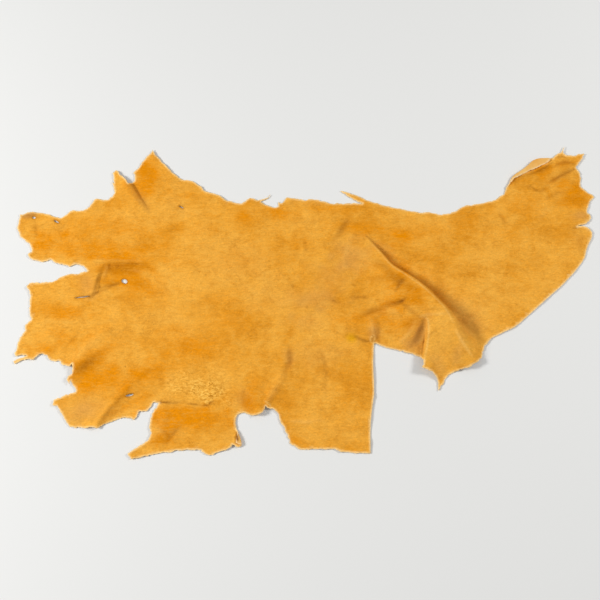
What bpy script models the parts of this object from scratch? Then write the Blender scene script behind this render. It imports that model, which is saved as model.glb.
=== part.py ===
"""Leather hide: one half of a large tanned hide, laid out on a flat surface.

The hide is one sheet of soft leather. Its ragged outline, its holes, the long fold that stands up
near the square cut, the smaller folds and the two places where the edge is rolled back are all in
this one solid. The underside lies at Z = 0 wherever the hide touches the surface.

Landmarks are columns and rows of the reference picture, 600 by 600, read by eye. The view looks
down on the hide at VIEW_TILT, and picture_to_floor turns a landmark into metres from HIDE_LENGTH.
"""

import bpy
import numpy as np
from math import ceil, cos, pi, radians, sin
from mathutils.geometry import delaunay_2d_cdt

# Driving dimensions, in metres
HIDE_LENGTH = 1.97
THICKNESS = 0.002
MM = 0.001

# How the reference picture sees the hide
VIEW_TILT = radians(70.0)
PICTURE_CENTRE = 300.0
PICTURE_FOCUS = 833.3
LEFTMOST_COLUMN, LEFTMOST_ROW = 18.0, 228.0
RIGHTMOST_COLUMN, RIGHTMOST_ROW = 593.6, 197.1

# Leather that is turned over bends at this radius, measured on its outer side
ROLL_RADIUS = 0.0042
ROLL_DROP_LENGTH = 0.016
LAYER_GAP = 0.0006
OVERHANG = radians(24.0)
OVERHANG_SPAN = 0.7
FLATTEST_FOLD = 0.01

# Spacing of the mesh, in metres
EDGE_SPACING = 0.0125
RIM_SPACING = 0.020
RIM_DEPTH = 0.026
FIELD_SPACING = 0.038
CREST_SPACING = 0.0135
SHORTEST_SIDE = 0.0022
OUTLINE_STEP = 0.002
CREST_STEP = 0.003

# How far apart points must stand, in metres, and how far from the rim or a hole
CREST_CLEARANCE, CREST_GAP = 0.0030, 0.0019
RIM_CLEARANCE, RIM_GAP = 0.009, 0.010
FIELD_GAP = 0.024
HOLE_CLEARANCE = 0.004
SAME_PLACE = 1e-7

# Where the mesh has points beside a crest, as shares of the steep and the gentle width
CREST_END = 0.12
TALL_FOLD = 0.015
NARROW_FLANK = 0.018
TALL_SHARES = (0.0, 0.16, 0.33, 0.5, 0.67, 0.84, 1.0, 1.7)
TALL_GENTLE_SHARES = (0.06, 0.14, 0.28)
LOW_SHARES = (0.0, 0.33, 0.67, 1.0)
LOW_GENTLE_SHARES = (0.2, 0.5)
WIDE_SHARES = (0.0, 0.5, 1.0)
WIDE_GENTLE_SHARES = (0.4, 0.8)

# Where it has points round a turned edge, as shares of the half turn
ROLL_SHARES = (-0.4, 0.0, 0.25, 0.5, 0.75, 1.0, 1.6, 2.4)
ROLL_MARGIN = 0.003

# How the place under a landmark is found: so many steps, each a share of what is still missing
FIND_STEPS = 12
FIND_SHARE = 0.7

# Outline, clockwise in the picture. Columns: column, row, and 1 where the edge runs on smoothly
FORE_TAB = (
    (18.0, 228.0, 1), (18.9, 224.0, 1), (21.0, 217.0, 0), (20.5, 214.8, 0), (23.5, 215.3, 0),
    (29.0, 212.8, 1), (36.0, 212.5, 1), (48.0, 214.5, 1), (60.5, 218.8, 0), (65.0, 216.3, 1),
    (72.0, 212.0, 1), (75.0, 210.6, 0), (80.0, 211.8, 0), (85.0, 210.7, 1), (90.0, 207.3, 1),
    (93.5, 202.5, 1), (98.0, 199.0, 1), (103.3, 200.6, 0), (110.0, 199.7, 0), (110.5, 197.6, 0),
    (113.0, 196.9, 0), (115.0, 190.0, 1), (112.0, 182.6, 0), (114.0, 184.0, 0), (114.3, 178.0, 1),
    (113.4, 173.5, 0), (116.0, 171.0, 0), (119.0, 172.5, 0), (121.0, 175.5, 0), (126.0, 179.5, 1),
    (128.6, 183.5, 0),
)
NECK_POINT = (
    (131.5, 183.0, 0), (135.0, 181.0, 0), (135.5, 178.0, 1), (133.5, 173.5, 0), (137.0, 170.5, 1),
    (142.0, 164.5, 1), (144.5, 160.5, 0), (150.0, 155.0, 1), (153.3, 150.8, 0), (155.0, 155.0, 0),
    (160.0, 160.0, 1), (168.0, 168.5, 1), (175.0, 175.0, 1), (183.0, 180.5, 1), (191.0, 181.0, 1),
    (198.0, 185.5, 1), (206.0, 192.0, 1), (219.0, 195.8, 1), (226.0, 200.8, 1), (241.5, 204.7, 0),
)
FAR_EDGE = (
    (245.0, 202.5, 0), (248.5, 199.2, 1), (252.5, 198.8, 1), (256.6, 200.9, 0), (264.5, 199.2, 1),
    (270.6, 195.3, 0), (265.0, 200.6, 1), (259.5, 202.2, 0), (268.5, 206.2, 1), (274.4, 207.7, 1),
    (278.4, 206.7, 0), (278.7, 201.4, 0), (280.2, 204.6, 0), (286.8, 197.9, 0), (303.0, 200.6, 0),
    (312.0, 200.1, 1), (322.9, 201.7, 1), (329.8, 203.7, 1), (353.5, 203.9, 1), (363.0, 204.0, 0),
    (354.0, 200.2, 1), (340.2, 191.2, 0), (350.0, 194.0, 1), (358.5, 196.8, 1), (366.4, 200.3, 1),
    (380.0, 204.7, 1), (389.8, 207.1, 1), (406.3, 210.4, 1), (419.6, 213.2, 1), (432.9, 212.7, 1),
    (439.5, 215.4, 1), (454.4, 212.1, 1), (462.7, 207.1, 1), (481.0, 203.6, 1), (495.9, 199.7, 1),
    (503.2, 194.2, 0),
)
HIND_CORNER = (
    (552.3, 159.2, 0), (555.7, 155.3, 1), (561.0, 153.4, 0), (563.9, 147.4, 0), (562.9, 154.6, 0),
    (566.1, 156.2, 0), (572.9, 157.0, 1), (578.0, 155.0, 1), (583.6, 154.5, 0), (581.5, 159.6, 1),
    (575.3, 168.4, 0), (579.0, 173.4, 1), (580.7, 181.1, 1), (580.0, 187.2, 0), (593.6, 197.1, 0),
    (590.2, 201.8, 1), (586.9, 209.5, 1), (587.2, 213.6, 0), (589.9, 214.4, 1), (589.9, 219.0, 1),
    (587.5, 223.2, 1), (575.6, 227.6, 0), (584.8, 227.2, 1), (591.0, 231.9, 1), (591.6, 237.0, 1),
    (586.7, 248.3, 1), (583.3, 260.3, 1), (563.9, 283.5, 1), (546.5, 299.2, 1), (514.1, 327.7, 1),
    (504.2, 332.1, 1), (491.5, 338.5, 0), (484.9, 346.0, 1), (481.0, 358.8, 0), (472.7, 364.8, 1),
    (459.4, 370.2, 1), (448.3, 375.1, 1), (442.8, 384.0, 1), (438.0, 390.8, 0), (437.3, 380.0, 1),
    (431.5, 371.9, 1), (422.6, 368.0, 0), (424.3, 361.0, 0),
)
SQUARE_CUT = (
    (420.0, 357.0, 0), (406.3, 352.8, 1), (384.8, 347.6, 1), (373.9, 343.0, 0), (373.2, 366.1, 1),
    (374.0, 391.0, 1), (372.3, 407.5, 1), (370.6, 424.1, 1), (370.5, 453.6, 0), (343.3, 452.4, 1),
    (335.0, 449.2, 0), (320.3, 449.4, 1), (299.3, 449.4, 1), (295.4, 446.6, 1), (289.7, 443.6, 0),
    (287.8, 435.6, 1), (282.0, 424.1, 1), (277.6, 414.5, 1), (275.0, 410.0, 0), (268.0, 408.3, 1),
    (265.2, 406.3, 0), (264.2, 411.4, 0), (259.1, 414.4, 1), (251.4, 415.2, 1), (245.7, 413.3, 1),
    (241.2, 412.7, 1), (237.0, 415.4, 1), (235.5, 420.8, 1), (236.4, 429.0, 0),
)
HIND_SHANKS = (
    (241.4, 446.6, 1), (238.0, 448.6, 0), (232.6, 444.6, 0), (228.5, 449.4, 1), (218.3, 452.2, 1),
    (210.0, 456.0, 1), (205.5, 454.7, 1),
    (200.6, 450.0, 0), (190.8, 449.8, 1), (177.1, 450.8, 1), (162.9, 452.9, 1), (148.6, 455.5, 1),
    (131.8, 459.9, 0), (127.6, 453.6, 0), (137.9, 447.5, 1), (149.6, 439.4, 1), (150.8, 434.5, 1),
    (150.0, 425.0, 1), (153.0, 412.0, 1), (159.6, 403.8, 0), (155.0, 402.0, 0), (149.5, 408.0, 1),
    (144.3, 412.2, 1), (138.4, 411.4, 0), (137.6, 416.4, 1), (134.3, 420.4, 0), (131.0, 418.2, 1),
    (123.3, 418.3, 1), (113.0, 421.0, 1), (98.3, 428.2, 0), (84.0, 427.5, 1), (69.8, 427.3, 0),
    (63.1, 416.2, 1), (57.0, 406.0, 0), (53.4, 405.8, 0), (53.6, 400.3, 0), (76.6, 391.8, 0),
    (76.2, 388.6, 1), (71.6, 383.6, 0), (71.0, 380.0, 0), (69.4, 384.0, 0), (67.4, 380.6, 1),
    (68.4, 376.0, 1), (71.2, 374.4, 0), (73.2, 368.0, 1), (72.6, 363.0, 0), (70.4, 366.4, 0),
    (63.4, 365.0, 1), (60.0, 360.4, 0), (57.0, 362.0, 1), (50.0, 359.4, 1), (44.6, 355.0, 1),
    (39.6, 354.4, 1), (35.0, 359.2, 1), (30.0, 359.6, 0), (22.0, 360.6, 1), (14.6, 363.6, 0),
    (13.9, 361.2, 0), (20.0, 358.6, 1), (27.1, 356.6, 0), (24.0, 355.0, 1), (16.4, 357.0, 0),
)
FORE_EDGE = (
    (15.6, 354.0, 1), (17.4, 347.6, 1), (20.5, 338.0, 1), (26.2, 331.0, 0), (25.2, 326.3, 1),
    (32.6, 319.6, 0), (30.0, 313.0, 1), (30.2, 305.0, 1), (31.2, 296.6, 1), (27.2, 286.0, 0),
    (30.0, 283.8, 1), (50.0, 282.6, 1), (61.0, 277.5, 1), (69.0, 274.5, 1), (80.0, 274.0, 1),
    (88.3, 271.0, 0), (82.0, 266.0, 1), (75.0, 263.7, 1), (71.0, 266.9, 1), (64.0, 265.0, 1),
    (56.0, 263.3, 1), (50.5, 259.5, 0), (43.0, 262.3, 1), (33.5, 260.0, 1), (30.0, 257.8, 0),
    (28.0, 255.0, 0), (31.8, 252.8, 0), (32.6, 249.5, 1), (28.5, 243.0, 1), (23.0, 239.5, 1),
    (20.3, 235.6, 1),
)

# Edges turned back over the hide. Columns: column and row of the turn, and the length in mm of the
# leather beyond it
HIND_TURNED_EDGE = (
    (505.4, 189.0, 2.0), (508.6, 183.2, 12.0), (513.0, 176.6, 20.0), (520.4, 171.0, 27.0),
    (526.4, 166.6, 33.0), (532.6, 161.2, 41.0), (538.0, 159.4, 38.0), (545.0, 159.0, 30.0),
    (551.0, 159.0, 6.0),
)
SHANK_CURL = (
    (237.0, 430.0, 2.0), (238.8, 434.4, 13.0), (240.6, 438.8, 23.0), (242.3, 443.0, 29.0),
    (242.7, 444.2, 27.0), (243.0, 445.4, 1.0),
)

# Folds. Columns: column and row of the crest, its height in mm over what it stands on, and the
# width in mm of its gentle side and of its steep side, which lies to the left along the fold
LONG_FOLD = (
    (360.0, 230.0, 0.0, 40.0, 30.0), (367.0, 239.0, 7.0, 60.0, 22.0),
    (380.0, 253.0, 19.0, 90.0, 18.0), (392.0, 266.0, 29.0, 120.0, 17.0),
    (408.0, 276.0, 37.0, 140.0, 18.0), (425.0, 288.5, 44.0, 150.0, 20.0),
    (438.0, 300.5, 50.0, 150.0, 22.0), (448.0, 312.0, 56.0, 140.0, 28.0),
    (452.0, 320.0, 57.0, 130.0, 44.0), (457.0, 330.0, 53.0, 120.0, 64.0),
    (462.0, 341.5, 44.0, 100.0, 76.0), (467.5, 351.5, 32.0, 85.0, 66.0),
    (474.0, 362.0, 20.0, 70.0, 50.0), (482.0, 374.0, 12.0, 60.0, 40.0),
)
LAPPED_FOLD = (
    (422.0, 376.0, 24.0, 70.0, 15.0), (423.0, 366.0, 24.0, 75.0, 15.0),
    (424.8, 357.0, 23.0, 75.0, 15.0), (427.4, 346.0, 21.0, 75.0, 15.0),
    (429.0, 335.0, 18.0, 70.0, 15.0), (428.4, 326.0, 12.0, 60.0, 15.0),
    (425.4, 318.0, 5.0, 40.0, 15.0), (421.0, 312.0, 0.0, 30.0, 15.0),
)
HEM_RIPPLE = (
    (420.0, 312.0, 0.0, 16.0, 14.0), (416.5, 320.0, 5.0, 22.0, 18.0),
    (413.0, 330.0, 7.0, 26.0, 22.0), (408.0, 337.0, 5.0, 28.0, 24.0),
    (400.0, 345.0, 0.0, 26.0, 22.0),
)
NECK_FOLD = (
    (122.5, 173.0, 9.0, 30.0, 13.0), (127.5, 181.0, 12.0, 34.0, 13.0),
    (131.5, 187.0, 13.0, 36.0, 13.0), (136.0, 194.0, 11.0, 36.0, 14.0),
    (141.0, 202.0, 8.0, 36.0, 16.0), (145.5, 208.5, 4.0, 34.0, 18.0),
    (150.0, 214.0, 0.0, 30.0, 20.0),
)
TUCK_RIDGE = (
    (150.0, 263.5, 0.0, 24.0, 14.0), (141.0, 263.2, 4.0, 26.0, 12.0),
    (128.0, 263.0, 7.0, 28.0, 12.0), (112.0, 262.6, 8.0, 28.0, 12.0),
    (99.0, 262.2, 7.0, 22.0, 12.0), (93.0, 262.6, 3.0, 18.0, 12.0), (88.0, 263.5, 0.0, 16.0, 12.0),
)
TUCK_FOLD = (
    (106.0, 263.5, 0.0, 18.0, 14.0), (101.5, 271.0, 6.0, 20.0, 14.0),
    (97.5, 279.0, 9.0, 24.0, 14.0), (95.8, 287.0, 9.0, 24.0, 13.0),
    (92.0, 294.5, 6.0, 22.0, 13.0), (86.0, 298.0, 2.0, 18.0, 13.0), (80.0, 300.0, 0.0, 16.0, 13.0),
)
SHANK_RIDGE = (
    (140.0, 385.0, 0.0, 40.0, 26.0), (122.0, 396.0, 6.0, 45.0, 28.0),
    (108.0, 409.0, 9.0, 50.0, 28.0), (99.0, 420.0, 9.0, 50.0, 28.0), (92.0, 432.0, 8.0, 50.0, 28.0),
)
EDGE_SWELL = (
    (66.0, 374.0, 10.0, 60.0, 36.0), (76.0, 364.0, 12.0, 66.0, 38.0),
    (90.0, 354.0, 9.0, 70.0, 40.0), (108.0, 343.0, 5.0, 70.0, 40.0), (128.0, 333.0, 0.0, 60.0, 40.0),
)
PANEL_SWELL = (
    (262.0, 420.0, 13.0, 46.0, 26.0), (257.0, 410.0, 13.0, 46.0, 26.0),
    (254.0, 400.0, 10.0, 46.0, 28.0), (256.0, 388.0, 5.0, 46.0, 30.0), (262.0, 374.0, 0.0, 46.0, 30.0),
)
PANEL_RIDGE = (
    (262.0, 409.0, 3.0, 40.0, 22.0), (270.0, 397.0, 5.0, 44.0, 24.0),
    (280.0, 383.0, 6.0, 46.0, 26.0), (290.0, 369.0, 4.0, 46.0, 28.0), (300.0, 352.0, 0.0, 40.0, 28.0),
)
FOLDS = (
    LONG_FOLD, LAPPED_FOLD, HEM_RIPPLE, NECK_FOLD, TUCK_RIDGE, TUCK_FOLD, SHANK_RIDGE, EDGE_SWELL,
    PANEL_SWELL, PANEL_RIDGE,
)

# Broad rises. Columns: column, row, height in mm, radius in mm
SWELLS = (
    (442.0, 392.0, -14.0, 62.0),
    (345.0, 232.0, 5.0, 80.0),
    (46.0, 240.0, 3.0, 60.0),
    (235.0, 330.0, 4.0, 120.0),
    (560.0, 176.0, 4.0, 70.0),
)

# Holes and slits. Columns: column, row, length in mm, width in mm, turn in degrees
HOLES = (
    (124.7, 281.6, 21.0, 15.0, -28.0),
    (34.2, 218.0, 13.0, 8.0, -10.0),
    (56.6, 222.0, 19.0, 5.5, -30.0),
    (181.5, 207.6, 18.0, 3.6, -30.0),
    (129.8, 395.2, 25.0, 7.0, 16.0),
    (83.0, 297.4, 54.0, 3.4, 5.0),
)
HOLE_STEPS = 12

LEATHER_COLOUR = (0.80, 0.36, 0.045, 1.0)
LEATHER_ROUGHNESS = 0.9


def unit_floor(column, row):
    """The floor point seen at a picture place from a camera one metre away."""
    across = (column - PICTURE_CENTRE) / PICTURE_FOCUS
    up = (PICTURE_CENTRE - row) / PICTURE_FOCUS
    reach = sin(VIEW_TILT) / (sin(VIEW_TILT) - up * cos(VIEW_TILT))
    ahead = reach * (cos(VIEW_TILT) + up * sin(VIEW_TILT)) - cos(VIEW_TILT)
    return np.array((reach * across, ahead))


def view_distance():
    """How far the camera stands, so that the hide is HIDE_LENGTH long."""
    left = unit_floor(LEFTMOST_COLUMN, LEFTMOST_ROW)[0]
    right = unit_floor(RIGHTMOST_COLUMN, RIGHTMOST_ROW)[0]
    return HIDE_LENGTH / (right - left)


DISTANCE = view_distance()
CAMERA = np.array((0.0, -DISTANCE * cos(VIEW_TILT), DISTANCE * sin(VIEW_TILT)))


def picture_to_floor(column, row):
    return DISTANCE * unit_floor(column, row)


def seen_on_floor(places):
    """Where the floor lies behind each raised place, seen from the camera."""
    stretch = CAMERA[2] / (CAMERA[2] - places[:, 2])
    return CAMERA[:2] + (places[:, :2] - CAMERA[:2]) * stretch[:, None]


def bell(ratio):
    return 0.5 + 0.5 * np.cos(pi * np.clip(np.abs(ratio), 0.0, 1.0))


def smooth_line(points, rounds, step):
    """A curve through the points, which turns sharply where round is 0."""
    points = np.asarray(points, float)
    count = len(points)
    line = []
    for i in range(count - 1):
        start, end = points[i], points[i + 1]
        chord = end - start
        length = np.linalg.norm(chord)
        leave, arrive = chord, chord
        if rounds[i] and i > 0:
            ahead = end - points[i - 1]
            leave = ahead / np.linalg.norm(ahead) * length
        if rounds[i + 1] and i + 2 < count:
            ahead = points[i + 2] - start
            arrive = ahead / np.linalg.norm(ahead) * length
        steps = max(1, ceil(length / step))
        for t in np.arange(steps) / steps:
            line.append(
                (2 * t**3 - 3 * t**2 + 1) * start + (t**3 - 2 * t**2 + t) * leave
                + (3 * t**2 - 2 * t**3) * end + (t**3 - t**2) * arrive
            )
    line.append(points[-1])
    return np.array(line)


def left_normals(line):
    ahead = np.gradient(line[:, :2], axis=0)
    ahead /= np.linalg.norm(ahead, axis=1)[:, None]
    return np.column_stack((-ahead[:, 1], ahead[:, 0]))


def nearest(line, places):
    gaps = ((places[:, None, :] - line[None, :, :2]) ** 2).sum(axis=2)
    return gaps.argmin(axis=1)


def steep_side(height, width, share):
    """A flank from crest to foot: two arcs, and a straight slope where it stands steeper.

    Returns how far out and how high each place lies, and how far out the foot lies.
    """
    ratio = np.maximum(height / width, FLATTEST_FOLD)
    lean = OVERHANG * np.clip((ratio - 1.0) / OVERHANG_SPAN, 0.0, 1.0)
    turn = np.where(ratio <= 1.0, 2.0 * np.arctan(ratio), pi / 2 + lean)
    radius = np.where(ratio <= 1.0, width / (2.0 * np.sin(turn)), width / 2)
    drop = 2.0 * radius * (1.0 - np.cos(turn))
    slope = np.where(ratio <= 1.0, 0.0, np.maximum(height - drop, 0.0) / np.sin(turn))
    length = 2.0 * radius * turn + slope
    foot = 2.0 * radius * np.sin(turn) + slope * np.cos(turn)
    along = np.clip(share, 0.0, 1.0) * length
    first = np.minimum(along, radius * turn) / radius
    middle = np.clip(along - radius * turn, 0.0, slope)
    last = np.minimum(length - along, radius * turn) / radius
    upper = along <= radius * turn + slope
    out = np.where(
        upper, radius * np.sin(first) + middle * np.cos(turn), foot - radius * np.sin(last)
    )
    fall = np.where(
        upper, radius * (1.0 - np.cos(first)) + middle * np.sin(turn),
        height - radius * (1.0 - np.cos(last)),
    )
    return out, np.maximum(height - fall, 0.0), foot


def lift_by_fold(fold, places):
    """How far a fold moves each place of the flat hide: across, along and up."""
    line, normals = fold
    at = nearest(line, places)
    height, gentle, steep = line[at, 2], line[at, 3], line[at, 4]
    offset = ((places - line[at, :2]) * normals[at]).sum(axis=1)
    reach = np.linalg.norm(places - line[at, :2], axis=1)
    ends = (at == 0) | (at == len(line) - 1)
    offset = np.where(ends, np.sign(offset) * reach, offset)
    out, high, foot = steep_side(height, steep, offset / steep)
    lean = steep - foot
    on_gentle = offset <= 0.0
    fade = bell(offset / gentle)
    shift = np.where(on_gentle, lean * fade, np.where(offset < steep, lean + out - offset, 0.0))
    rise = np.where(on_gentle, height * fade, np.where(offset < steep, high, 0.0))
    return np.column_stack((normals[at] * shift[:, None], rise))


def lift_by_swell(swell, places):
    centre, height, radius = swell
    gap = np.linalg.norm(places - centre, axis=1)
    rise = height * bell(gap / radius)
    return np.column_stack((np.zeros(len(places)), np.zeros(len(places)), rise))


def turn_back(edge, places):
    """Rolls the leather beyond a turned edge up and back over the hide."""
    line, normals = edge
    at = nearest(line, places)
    offset = ((places - line[at, :2]) * normals[at]).sum(axis=1)
    beside = (at > 0) & (at < len(line) - 1) & (offset < line[at, 2] + ROLL_RADIUS)
    offset = np.where(beside, np.maximum(offset, 0.0), 0.0)
    half_turn = pi * ROLL_RADIUS
    angle = np.minimum(offset, half_turn) / ROLL_RADIUS
    back = np.maximum(offset - half_turn, 0.0)
    rest = 2 * THICKNESS + LAYER_GAP
    settle = (2 * ROLL_RADIUS - rest) * bell(1.0 - back / ROLL_DROP_LENGTH)
    out = ROLL_RADIUS * np.sin(angle) - back - offset
    rise = ROLL_RADIUS * (1.0 - np.cos(angle)) - np.where(back > 0.0, settle, 0.0)
    return np.column_stack((normals[at] * out[:, None], rise))


class Shape:
    """The folds, rises and turned edges that lift the flat hide."""

    def __init__(self):
        self.folds = []
        self.swells = []
        self.edges = []
        for rows in FOLDS:
            self.folds.append(self.place_fold(rows))
        for column, row, height, radius in SWELLS:
            self.swells.append((picture_to_floor(column, row), height * MM, radius * MM))
        for rows in (HIND_TURNED_EDGE, SHANK_CURL):
            self.edges.append(self.place_edge(rows))

    def lifted(self, places):
        places = np.atleast_2d(places)
        moved = np.column_stack((places, np.zeros(len(places))))
        for fold in self.folds:
            moved += lift_by_fold(fold, places)
        for swell in self.swells:
            moved += lift_by_swell(swell, places)
        moved[:, 2] = np.maximum(moved[:, 2], 0.0)
        for edge in self.edges:
            moved += turn_back(edge, places)
        return moved

    def place_fold(self, rows):
        """The crest line on the flat hide, where the raised crest is seen at its landmarks."""
        stations = []
        for column, row, height, gentle, steep in rows:
            seen = picture_to_floor(column, row)
            under = self.lifted(seen)[0, 2]
            top = height * MM + under
            on_view = CAMERA[:2] + (seen - CAMERA[:2]) * (CAMERA[2] - top) / CAMERA[2]
            stations.append((*on_view, height * MM, gentle * MM, steep * MM))
        line = smooth_line(stations, [1] * len(stations), CREST_STEP)
        normals = left_normals(line)
        foot = steep_side(line[:, 2], line[:, 4], np.ones(len(line)))[2]
        line[:, :2] -= normals * (line[:, 4] - foot)[:, None]
        return line, normals

    def place_edge(self, rows):
        stations = []
        for column, row, beyond in rows:
            stations.append((*picture_to_floor(column, row), beyond * MM))
        line = smooth_line(stations, [1] * len(stations), CREST_STEP)
        normals = left_normals(line)
        line[:, :2] -= normals * ROLL_RADIUS
        return line, normals

    def flat_place(self, column, row):
        """The place on the flat hide that is seen at a picture place once the hide is lifted."""
        target = picture_to_floor(column, row)
        place = target.copy()
        for _ in range(FIND_STEPS):
            seen = seen_on_floor(self.lifted(place))[0]
            place = place + FIND_SHARE * (target - seen)
        return place


def outline_landmarks(shape):
    """The outline on the flat hide, with the leather of the turned edges laid out."""
    places, rounds = [], []

    def add_rows(rows):
        for column, row, on_smoothly in rows:
            places.append(shape.flat_place(column, row))
            rounds.append(on_smoothly)

    def add_turned(edge):
        line, normals = edge
        for point, normal in list(zip(line, normals))[1:-1:2]:
            places.append(point[:2] + normal * point[2])
            rounds.append(1)

    add_rows(FORE_TAB)
    add_rows(NECK_POINT)
    add_rows(FAR_EDGE)
    add_turned(shape.edges[0])
    add_rows(HIND_CORNER)
    add_rows(SQUARE_CUT)
    add_turned(shape.edges[1])
    add_rows(HIND_SHANKS)
    add_rows(FORE_EDGE)
    places.append(places[0])
    rounds.append(rounds[0])
    return places, rounds


def even_steps(shape, line, corners, spacing):
    """Points along a line, evenly spaced as the lifted hide runs, with its corners kept."""
    lifted = shape.lifted(line)
    gaps = np.linalg.norm(np.diff(lifted, axis=0), axis=1)
    run = np.concatenate(((0.0,), np.cumsum(gaps)))
    kept = []
    for first, last in zip(corners[:-1], corners[1:]):
        steps = max(1, round((run[last] - run[first]) / spacing))
        wanted = run[first] + (run[last] - run[first]) * np.arange(steps) / steps
        for axis_values in zip(*(np.interp(wanted, run, line[:, axis]) for axis in (0, 1))):
            kept.append(axis_values)
    return np.array(kept)


def outline_loop(shape):
    places, rounds = outline_landmarks(shape)
    line = smooth_line(places, rounds, OUTLINE_STEP)
    corners = [0]
    for place, on_smoothly in zip(places[1:-1], rounds[1:-1]):
        if not on_smoothly:
            corners.append(int(np.linalg.norm(line - place, axis=1).argmin()))
    corners.append(len(line) - 1)
    loop = even_steps(shape, line, corners, EDGE_SPACING)
    gaps = np.linalg.norm(loop - np.roll(loop, 1, axis=0), axis=1)
    return loop[gaps > SHORTEST_SIDE]


def hole_loops(shape):
    loops = []
    for column, row, length, width, turn in HOLES:
        centre = shape.flat_place(column, row)
        along = np.array((cos(radians(turn)), sin(radians(turn))))
        across = np.array((-along[1], along[0]))
        loop = []
        for angle in np.arange(HOLE_STEPS) * 2 * pi / HOLE_STEPS:
            loop.append(
                centre + along * cos(angle) * length * MM / 2 + across * sin(angle) * width * MM / 2
            )
        loops.append(np.array(loop))
    return loops


def inside(loop, places):
    """Whether each place lies within a closed loop."""
    x, y = places[:, 0][:, None], places[:, 1][:, None]
    x0, y0 = loop[:, 0][None, :], loop[:, 1][None, :]
    x1, y1 = np.roll(loop[:, 0], -1)[None, :], np.roll(loop[:, 1], -1)[None, :]
    spans = (y0 > y) != (y1 > y)
    rise = np.where(y1 == y0, 1.0, y1 - y0)
    crossing = x < x0 + (x1 - x0) * (y - y0) / rise
    return (spans & crossing).sum(axis=1) % 2 == 1


def gap_to_loop(loop, places):
    """The distance from each place to the nearest side of a closed loop."""
    start = loop[None, :, :]
    side = np.roll(loop, -1, axis=0)[None, :, :] - start
    offset = places[:, None, :] - start
    share = (offset * side).sum(axis=2) / np.maximum((side**2).sum(axis=2), SAME_PLACE**2)
    foot = offset - np.clip(share, 0.0, 1.0)[:, :, None] * side
    return np.sqrt((foot**2).sum(axis=2)).min(axis=1)


def lattice(low, high, spacing):
    """Rows of points, each row half a step along from the last."""
    rows = int((high[1] - low[1]) / (spacing * sin(pi / 3))) + 1
    columns = int((high[0] - low[0]) / spacing) + 1
    places = []
    for j in range(rows):
        for i in range(columns):
            x = low[0] + (i + 0.5 * (j % 2)) * spacing
            places.append((x, low[1] + j * spacing * sin(pi / 3)))
    return np.array(places)


def even_picks(shape, line, first, last, spacing):
    """Places in a line that are evenly spaced as the lifted hide runs."""
    lifted = shape.lifted(line[:, :2])
    run = np.concatenate(((0.0,), np.cumsum(np.linalg.norm(np.diff(lifted, axis=0), axis=1))))
    steps = max(2, round((run[last] - run[first]) / spacing))
    wanted = np.linspace(run[first], run[last], steps + 1)
    return np.unique(np.searchsorted(run, wanted).clip(0, len(line) - 1))


def fold_points(shape, fold):
    """Lines of points beside a crest, close together where its flank is steep."""
    line, normals = fold
    keep = np.nonzero(line[:, 2] > CREST_END * line[:, 2].max())[0]
    if line[:, 2].max() > TALL_FOLD:
        shares, gentle_shares, spacing = TALL_SHARES, TALL_GENTLE_SHARES, CREST_SPACING
    elif line[:, 4].min() < NARROW_FLANK:
        shares, gentle_shares, spacing = LOW_SHARES, LOW_GENTLE_SHARES, CREST_SPACING
    else:
        shares, gentle_shares, spacing = WIDE_SHARES, WIDE_GENTLE_SHARES, RIM_SPACING
    places = []
    for at in even_picks(shape, line, keep[0], keep[-1], spacing):
        for share in shares:
            places.append(line[at, :2] + normals[at] * share * line[at, 4])
        for share in gentle_shares:
            places.append(line[at, :2] - normals[at] * share * line[at, 3])
    return np.array(places)


def turned_points(shape, edge):
    """Lines of points round a turned edge and over the leather beyond it."""
    line, normals = edge
    places = []
    for at in even_picks(shape, line, 1, len(line) - 2, CREST_SPACING):
        for share in ROLL_SHARES:
            offset = share * pi * ROLL_RADIUS
            if offset < line[at, 2] - ROLL_MARGIN:
                places.append(line[at, :2] + normals[at] * offset)
    return np.array(places)


def thinned(places, kept, gap):
    """The places that stand clear of those already kept."""
    chosen = []
    for place in places:
        near = kept + chosen
        if near:
            if np.sqrt(((np.array(near) - place) ** 2).sum(axis=1)).min() < gap:
                continue
        chosen.append(tuple(place))
    return chosen


def inner_points(shape, loop, holes):
    """Points within the outline: by the folds, along the rim, and over the open field."""
    low, high = loop.min(axis=0), loop.max(axis=0)
    kept = []
    crests = [turned_points(shape, edge) for edge in shape.edges]
    crests += [fold_points(shape, fold) for fold in shape.folds]
    for places in crests:
        clear = inside(loop, places) & (gap_to_loop(loop, places) > CREST_CLEARANCE)
        kept += thinned(places[clear], kept, CREST_GAP)
    rim = lattice(low, high, RIM_SPACING)
    rim = rim[inside(loop, rim)]
    gap = gap_to_loop(loop, rim)
    kept += thinned(rim[(gap > RIM_CLEARANCE) & (gap < RIM_DEPTH)], kept, RIM_GAP)
    field = lattice(low, high, FIELD_SPACING)
    field = field[inside(loop, field)]
    kept += thinned(field[gap_to_loop(loop, field) > RIM_DEPTH], kept, FIELD_GAP)
    kept = np.array(kept)
    for hole in holes:
        kept = kept[~inside(hole, kept) & (gap_to_loop(hole, kept) > HOLE_CLEARANCE)]
    return kept


def hide_triangles(loop, holes, inner):
    """Triangles over the flat hide, with the holes left open."""
    loops = [loop] + holes
    places, sides = [], []
    for ring in loops:
        first = len(places)
        places += [tuple(place) for place in ring]
        corners = range(len(ring))
        sides += [(first + i, first + (i + 1) % len(ring)) for i in corners]
    places += [tuple(place) for place in inner]
    found = delaunay_2d_cdt(places, sides, [], 0, SAME_PLACE, False)
    flat = np.array([tuple(vert) for vert in found[0]])
    triangles = np.array(found[2])
    centres = flat[triangles].mean(axis=1)
    kept = inside(loop, centres)
    for hole in holes:
        kept &= ~inside(hole, centres)
    triangles = triangles[kept]
    used, renumbered = np.unique(triangles, return_inverse=True)
    return flat[used], renumbered.reshape(-1, 3).tolist()


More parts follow.
